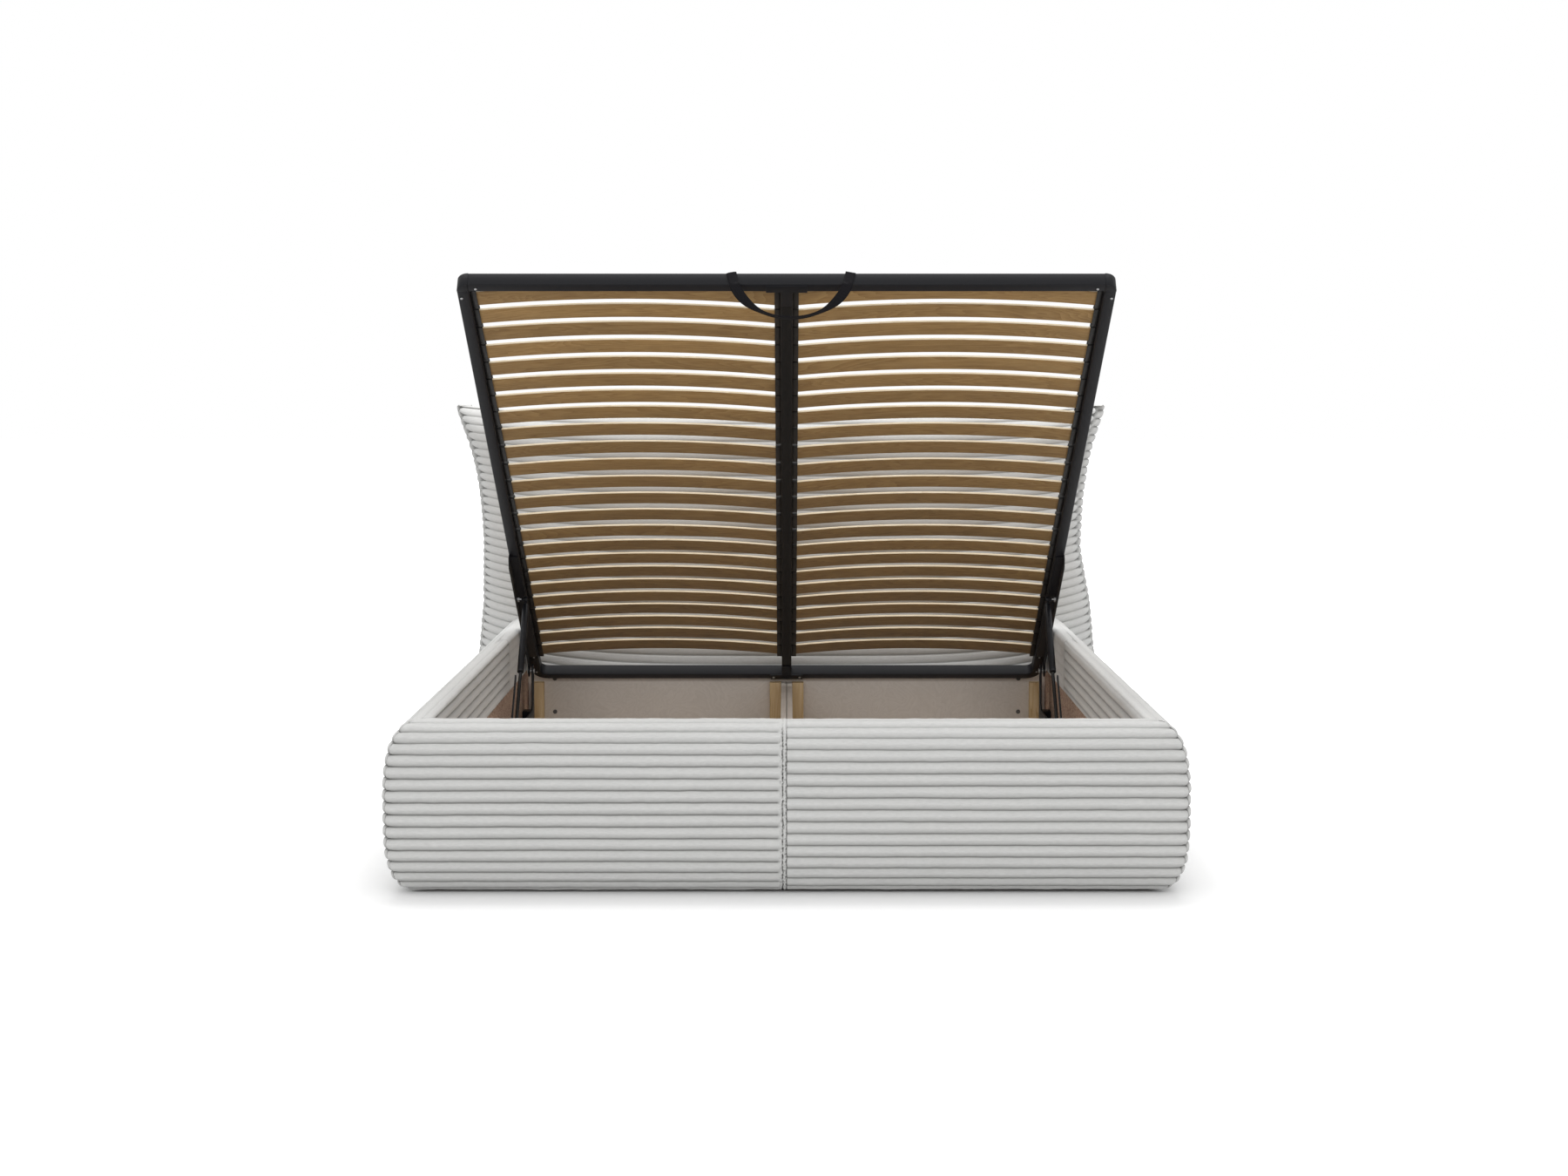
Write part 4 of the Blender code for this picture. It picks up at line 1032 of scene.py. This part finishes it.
# %% One wall cover
def wall_cover(name, side, stations, shift, seed, replaced):
    """A cover along its stations; shift moves its ribs round the section by a share of a rib."""
    steps = np.arange(wall_ribs * wall_samples + 1) / wall_samples
    base, phase = steps * wall_pitch, steps + shift
    crest, lower_half_shade = crest_of(phase), lower_half_shade_of(phase)
    closing = np.array([(lap, core_top + gap), (core_setback - gap, core_top + gap),
                        (core_setback - gap, flap_bottom), (0.0, flap_bottom)])
    rows, columns = len(stations), len(base) + len(closing)
    points, uvs, grooves = np.zeros((rows, columns, 3)), np.zeros((rows, columns, 2)), np.zeros((rows, columns))
    held = np.sin(np.pi * np.clip(base / wall_lengths[-1], 0, 1))
    for j, (run, place_of, from_middle, from_mitre, from_crease) in enumerate(stations):
        runs = base * 0 + run
        drift = rough(runs, base, seed, (0.30, 0.08), 0.05) + rough(runs, base, seed + 3, (0.035, 0.02), 0.03)
        place, inward = along_path(wall_points, wall_lengths, base + drift * wall_pitch * held)
        level = 1 - 0.75 * np.clip(-inward[:, 1], 0, 1) ** 1.5
        lumps = rough(runs, base, seed + 5, (0.05, 0.03), 0.0009) + rough(runs, base, seed + 7, (0.014, 0.009), 0.0006)
        inset = rib_depth * (1 - crest) * level
        # depth is painted shade, not a depth: down each groove and a little on the lower half of each rib, less on the
        # top.
        depth = (1 - crest + 0.20 * lower_half_shade) * level
        if from_middle is not None:
            # Near the middle seam the gutter and the seam's edge are painted with shade.
            kept, welt, painted_shade = middle_seam(side, from_middle(place[:, 0]), crest, base, seed)
            top = np.clip((wall_top - place[:, 1]) / 0.03, 0.2, 1)
            inset = inset * kept + welt * top
            depth = depth * kept + painted_shade * top
        if from_crease is not None:
            behind = from_crease(place[:, 0]) * np.clip((lap - place[:, 0]) / 0.02, 0, 1)
            fold = rough(runs, base, seed + 9, (0.016, 0.2), 0.002)
            plain = np.clip(behind / 0.006, 0, 1)
            crease = hump(behind, 0.004) * (behind != 0)
            inset = inset * (1 - 0.8 * plain) + plain * fold + 0.005 * crease
            # The fold of the crease is painted with shade.
            depth = depth * (1 - 0.7 * plain) + 0.6 * crease
        distance = from_mitre(place[:, 0])
        inset += mitre_pull(distance, crest) + lumps
        # At the mitre the cloth is painted with shade, most in the grooves.
        depth += 0.5 * near(distance, 0.004) * (1 - 0.5 * crest) + 0.1 * (1 - crest) * near(distance, 0.03)
        inset *= np.clip(base / 0.02, 0, 1)
        section = np.concatenate([place + inward * inset[:, None], closing])
        points[j] = [place_of(out, height) for out, height in section]
        uvs[j, :, 0] = run
        uvs[j, :, 1] = np.concatenate([base, base[-1] + 0.01 * np.arange(1, len(closing) + 1)])
        # grooves holds the painted shade for the cord material.
        grooves[j] = np.concatenate([np.clip(depth, 0, 1), np.zeros(len(closing))])
    points[:, :, 0] *= side
    piece = new_piece(name, ribbed_sheet(points, uvs, grooves), [cord], "base", replaced)


def fine_steps(step, growth, reach):
    """Distances from a seam, fine at first and growing."""
    steps = [0.0]
    while steps[-1] < reach:
        steps.append(steps[-1] + step)
        step *= growth
    return steps


def spread(length, coarse, start, end):
    """Distances from 0 to length: fine near both ends, coarse between."""
    first = start[-1]
    last = length - end[-1]
    count = max(1, round((last - first) / coarse))
    middle = [first + (last - first) * k / count for k in range(1, count)]
    return start + middle + [length - distance for distance in reversed(end)]


print("cover helpers ready")

# %% [markdown]
# A station is one place along a wall: how far it is along, where it puts a
# point of the section, and how far each point is from the two seams. The
# corner turns by 45 degrees on each side of its mitre.

# %% Stations along the footboard and the side rails
corner_angles = (5, 11, 17, 23, 28, 32, 35.5, 38.5, 41, 43, 44.3, 45)
corner_run, crease_y = 0.03, 0.44
half_seam = gap / 2
rib_shifts = {-1: (0.93, 0.0), 1: (0.34, 0.59)}


def radius_of(out):
    """The corner's radius at a distance out from the inner face."""
    return np.maximum(0, out - lap) * corner_share


def straight_half(out):
    """Half the length of the footboard's straight part at a distance out."""
    return rail_x + out - radius_of(out)


def far_away(out):
    """A distance that no seam reaches."""
    return out * 0 + 1.0


def corner_station(sign, angle, run, from_middle):
    """A place on the corner, turned from its wall; sign is -1 on the footboard and 1 on the rail."""
    turn = math.radians(angle)
    across, ahead = (math.sin(turn), math.cos(turn)) if sign < 0 else (math.cos(turn), math.sin(turn))
    back = sign * half_seam if angle == corner_angles[-1] else 0

    def place_of(out, height):
        centre, radius = out - radius_of(out), radius_of(out)
        return rail_x + centre + radius * across + back, foot_y - centre - radius * ahead + back, height

    def from_mitre(out):
        return radius_of(out) * (math.pi / 4 - turn)

    return run, place_of, from_middle, from_mitre, None


def footboard_stations():
    """From the middle seam to the mitre."""
    stations = []
    for run in spread(rail_x, 0.008, fine_steps(0.0008, 1.02, 0.021), fine_steps(0.0012, 1.15, 0.03)):
        share = run / rail_x

        def place_of(out, height, share=share):
            return half_seam + share * (straight_half(out) - half_seam), foot_y - out, height

        def from_middle(out, share=share):
            return share * straight_half(out)

        def from_mitre(out, share=share):
            return (1 - share) * straight_half(out) + radius_of(out) * math.pi / 4

        stations.append((run, place_of, from_middle, from_mitre, None))
    return stations + [corner_station(-1, angle, rail_x + corner_run * math.radians(angle), far_away)
                       for angle in corner_angles]


def rail_stations():
    """From the mitre to the headboard; behind the crease the flap lies plain."""
    stations = [corner_station(1, angle, -corner_run * math.radians(angle), None) for angle in reversed(corner_angles)]
    length = headboard_y - gap - foot_y
    crease = crease_y - foot_y
    runs = spread(crease, 0.012, fine_steps(0.0012, 1.15, 0.04), fine_steps(0.002, 1.2, 0.012))
    runs += [crease + distance for distance in spread(length - crease, 0.010, [0.002, 0.004, 0.007], [0.0])]
    for run in runs:
        share = run / length

        def place_of(out, height, share=share):
            first = foot_y - out + radius_of(out)
            return rail_x + out, first + share * (headboard_y - gap - first), height

        def from_mitre(out, share=share):
            return share * (length + out - radius_of(out)) + radius_of(out) * math.pi / 4

        def from_crease(out, run=run):
            return out * 0 + run - crease

        stations.append((run, place_of, None, from_mitre, from_crease))
    return stations


foot_places, rail_places = footboard_stations(), rail_stations()
for side, word in SIDES:
    foot_shift, rail_shift = rib_shifts[side]
    wall_cover("footboard_cord_" + word, side, foot_places, foot_shift, 11 + side, ["footboard_cover_" + word])
    wall_cover("side_rail_cord_" + word, side, rail_places, rail_shift, 21 + side, ["side_rail_cover_" + word])
print("cover faces:", made["footboard_cord_left"], made["side_rail_cord_left"])

# %% [markdown]
# ## Headboard
# The headboard is one tall boxed pad in the same cord. Seen from above, its
# outline runs along the front, turns round the rib ends to the side seam,
# bulges over the side band and comes back along the rear. That ring is
# repeated at every level. The ribs curl up towards the sides, the top corners
# flare out and rise, and a seam closes the top as it does the sides.

# %% Headboard outline
headboard_height, back_y = 1.034, 1.15
head_samples, gusset_steps, top_rows, middle_count = 8, 16, 12, 104
head_ribs = round((headboard_height - cover_bottom) / rib_pitch)
head_rows = head_ribs * head_samples
board_half, board_top, board_front = 0.880, 0.960, 1.1237
pressed_side, pressed_top, pressed_y = 0.026, 0.017, 1.1462
waist_height, waist_half, foot_flare, top_flare = 0.56, 0.946, 0.050, 0.080
turn_start, turn_length = 0.90, 0.10
roll_height, seam_set, top_y = 0.100, 0.055, 1.097


def part_of(value, start, length):
    """0 up to a start, growing to 1 over a length."""
    return min(1, max(0, value - start) / length)


def head_half_width(height):
    """Half the headboard's width: narrowest at the waist, wider at the foot and the top corners."""
    below = max(0, waist_height - height) / waist_height
    above = max(0, height - waist_height) / (headboard_height - waist_height)
    return waist_half + foot_flare * below + top_flare * above ** 2.9


near_edge = [-1 + d / 0.95 for d in (0, 0.001, 0.002, 0.0035, 0.005, 0.007, 0.0095, 0.0125, 0.016, 0.020, 0.025,
                                     0.031, 0.038, 0.047, 0.058)]
front_shares = near_edge + [near_edge[-1] * (1 - 2 * k / middle_count) for k in range(1, middle_count)]
front_shares += [-share for share in reversed(near_edge)]
print("headboard:", head_ribs, "ribs,", len(front_shares), "columns across the front")


# %% One level of the headboard
def head_ring(row):
    """Points, UVs and painted shade of one level, front left to right and back again."""
    height = cover_bottom + (headboard_height - cover_bottom) * min(row, head_rows) / head_rows
    rib, up, over = row / head_samples, row * rib_pitch / head_samples, max(0, row - head_rows) / top_rows
    roll = max(0, height - headboard_height + roll_height) / roll_height
    settle, part = part_of(height, cover_bottom, 0.200), height / headboard_height
    tall, rise = part_of(height, 0.37, 0.18), part_of(height, 0.55, 0.25)
    curl = 0.110 * settle ** 2 * (1 - part) + 0.027 * part ** 2
    half = head_half_width(height) - 0.002 * tall - 0.004 * rise - 0.006 * (max(0, height - 1.010) / 0.024) ** 2
    lean = -0.017 * tall - 0.005 * rise - 0.006 * max(0, height - 0.8) / 0.23
    front_crest, front_lower_shade, side_crest = float(crest_of(-rib)), float(lower_half_shade_of(-rib)), float(crest_of(0.5 - rib))
    front_end, side_end = (1 - (2 * ((start - rib) % 1) - 1) ** 2 for start in (0, 0.5))
    seam_y = headboard_y + seam_set + 0.050 * roll ** 2
    rear = back_y - 0.022 * roll ** 2
    top_pull = 0.004 * max(0, 1 - abs(row - head_rows) / 2.5)

    def front_cell(share):
        turn = max(0, abs(share) - turn_start) / turn_length
        crown = seam_set * (1 - math.sqrt(max(0, 1 - turn ** 2)))
        distance = (1 - abs(share)) * half
        pull = min(1, max(0, 1 - (distance + 0.016 * (front_end - 0.4)) / 0.014))
        lump = 0.0008 * noise.noise(Vector((share * half / 0.06, height / 0.03, 3)))
        lump += 0.0004 * noise.noise(Vector((share * half / 0.015, height / 0.010, 8)))
        inset = rib_depth * (1 - front_crest) + lump + 0.008 * pull
        x = share * (half - 0.9 * inset * turn) + lean
        y = headboard_y + crown + inset * (1 - turn) + 0.050 * roll ** 2 + top_pull
        # Painted shade: down each groove, a little on the lower half of each rib, and where the seam pulls the cloth
        # in.
        painted_shade = min(1, 0.48 * (1 - front_crest) + 0.06 * front_lower_shade + 1.4 * pull * (1 - 0.7 * front_end))
        return Vector((x, y, height + curl * share ** 4)), (share * half, up), painted_shade

    def band_cell(side, share):
        length = rear - seam_y
        pull = min(1, max(0, 1 - (min(share, 1 - share) * length + 0.012 * (side_end - 0.4)) / 0.010))
        swell = (0.012 + 0.012 * rise - 0.004 * roll) * math.sin(math.pi * share) ** 0.5
        knob = 0.0015 * noise.noise(Vector((share * 4, height / 0.012, 5 + side)))
        swell -= 0.0075 * (1 - side_crest) * (1 - pull) + 0.002 * pull + knob
        x = side * (half * (1 - 0.015 * share) + swell) + lean * (1 - share)
        # Painted shade in the side band's grooves and where its seams pull the cloth in.
        painted_shade = min(1, 1 - side_crest + 0.5 * pull)
        return Vector((x, seam_y + length * share, height + curl)), (side * (half + share * length), up), painted_shade

    def rear_cell(share):
        x = share * half * (0.985 + 0.015 * roll) + lean * roll
        inside = abs(x) < board_half + 0.006 and height < board_top + 0.003
        pressed = abs(x) < board_half + pressed_side and height < board_top + pressed_top
        y = board_front if inside else pressed_y if pressed else rear - 0.003 * (1 - front_crest)
        drop = 0 if inside else curl * abs(share) ** 4
        # Painted shade in the grooves of the rear; none where it lies on the board.
        return Vector((x, y, height + drop)), (share * half + 3.0, up), 0 if inside else 1 - front_crest

    band = [k / gusset_steps for k in range(1, gusset_steps)]
    cells = [front_cell(share) for share in front_shares] + [band_cell(1, share) for share in band]
    cells += [rear_cell(share) for share in reversed(front_shares)] + [band_cell(-1, share) for share in reversed(band)]
    if over > 0:
        share, swing = 1 - math.cos(over * math.pi / 2), math.sin(over * math.pi / 2)
        for point, _, _ in cells:
            point.y += (top_y - point.y) * share
            point.x *= 1 - 0.010 * share
            point.z += 0.005 * swing - 0.003 * (over == 1)
        # The rows that close the top are painted a little darker, the last row not.
        cells = [(point, (uv[0], uv[1] + over * 0.03), 0.15 * (over < 1)) for point, uv, _ in cells]
    cells.append((cells[0][0].copy(), (cells[-1][1][0] + 0.01, cells[0][1][1]), cells[0][2]))
    return cells


print("points round one level:", len(head_ring(0)))


# %% Headboard pad
rings = [head_ring(row) for row in range(head_rows + top_rows + 1)]
points = np.array([[tuple(cell[0]) for cell in ring] for ring in rings])
uvs = np.array([[cell[1] for cell in ring] for ring in rings])
grooves = np.array([[cell[2] for cell in ring] for ring in rings])
headboard = new_piece("headboard_cord", ribbed_sheet(points, uvs, grooves), [cord], "base", ["headboard_cushion"])
print("headboard faces:", made["headboard_cord"])

# %% Cloth over the back of the headboard
cloth_half, cloth_middle, cloth_y, cloth_thickness = (0.893, 0.482), 0.490, 1.1480, 0.0012
bm = bmesh.new()
bmesh.ops.create_grid(bm, x_segments=88, y_segments=48, size=0.5)
for v in bm.verts:
    x, z = v.co.x * 2 * cloth_half[0], cloth_middle + v.co.y * 2 * cloth_half[1]
    edge = min(cloth_half[0] - abs(x), cloth_half[1] - abs(z - cloth_middle))
    ripple = 0.0006 * noise.noise(Vector((x / 0.2, z / 0.3, 4))) * min(1, max(0, edge) / 0.03)
    v.co = Vector((x, cloth_y + ripple - 0.0008 * max(0, 1 - edge / 0.006), z))
bmesh.ops.recalc_face_normals(bm, faces=bm.faces)
back_sheet = new_piece("headboard_back_cloth", bm, [back_cloth], "base", ["headboard_back_sheet"])
thicken(back_sheet, cloth_thickness)
print("back cloth faces:", made["headboard_back_cloth"])
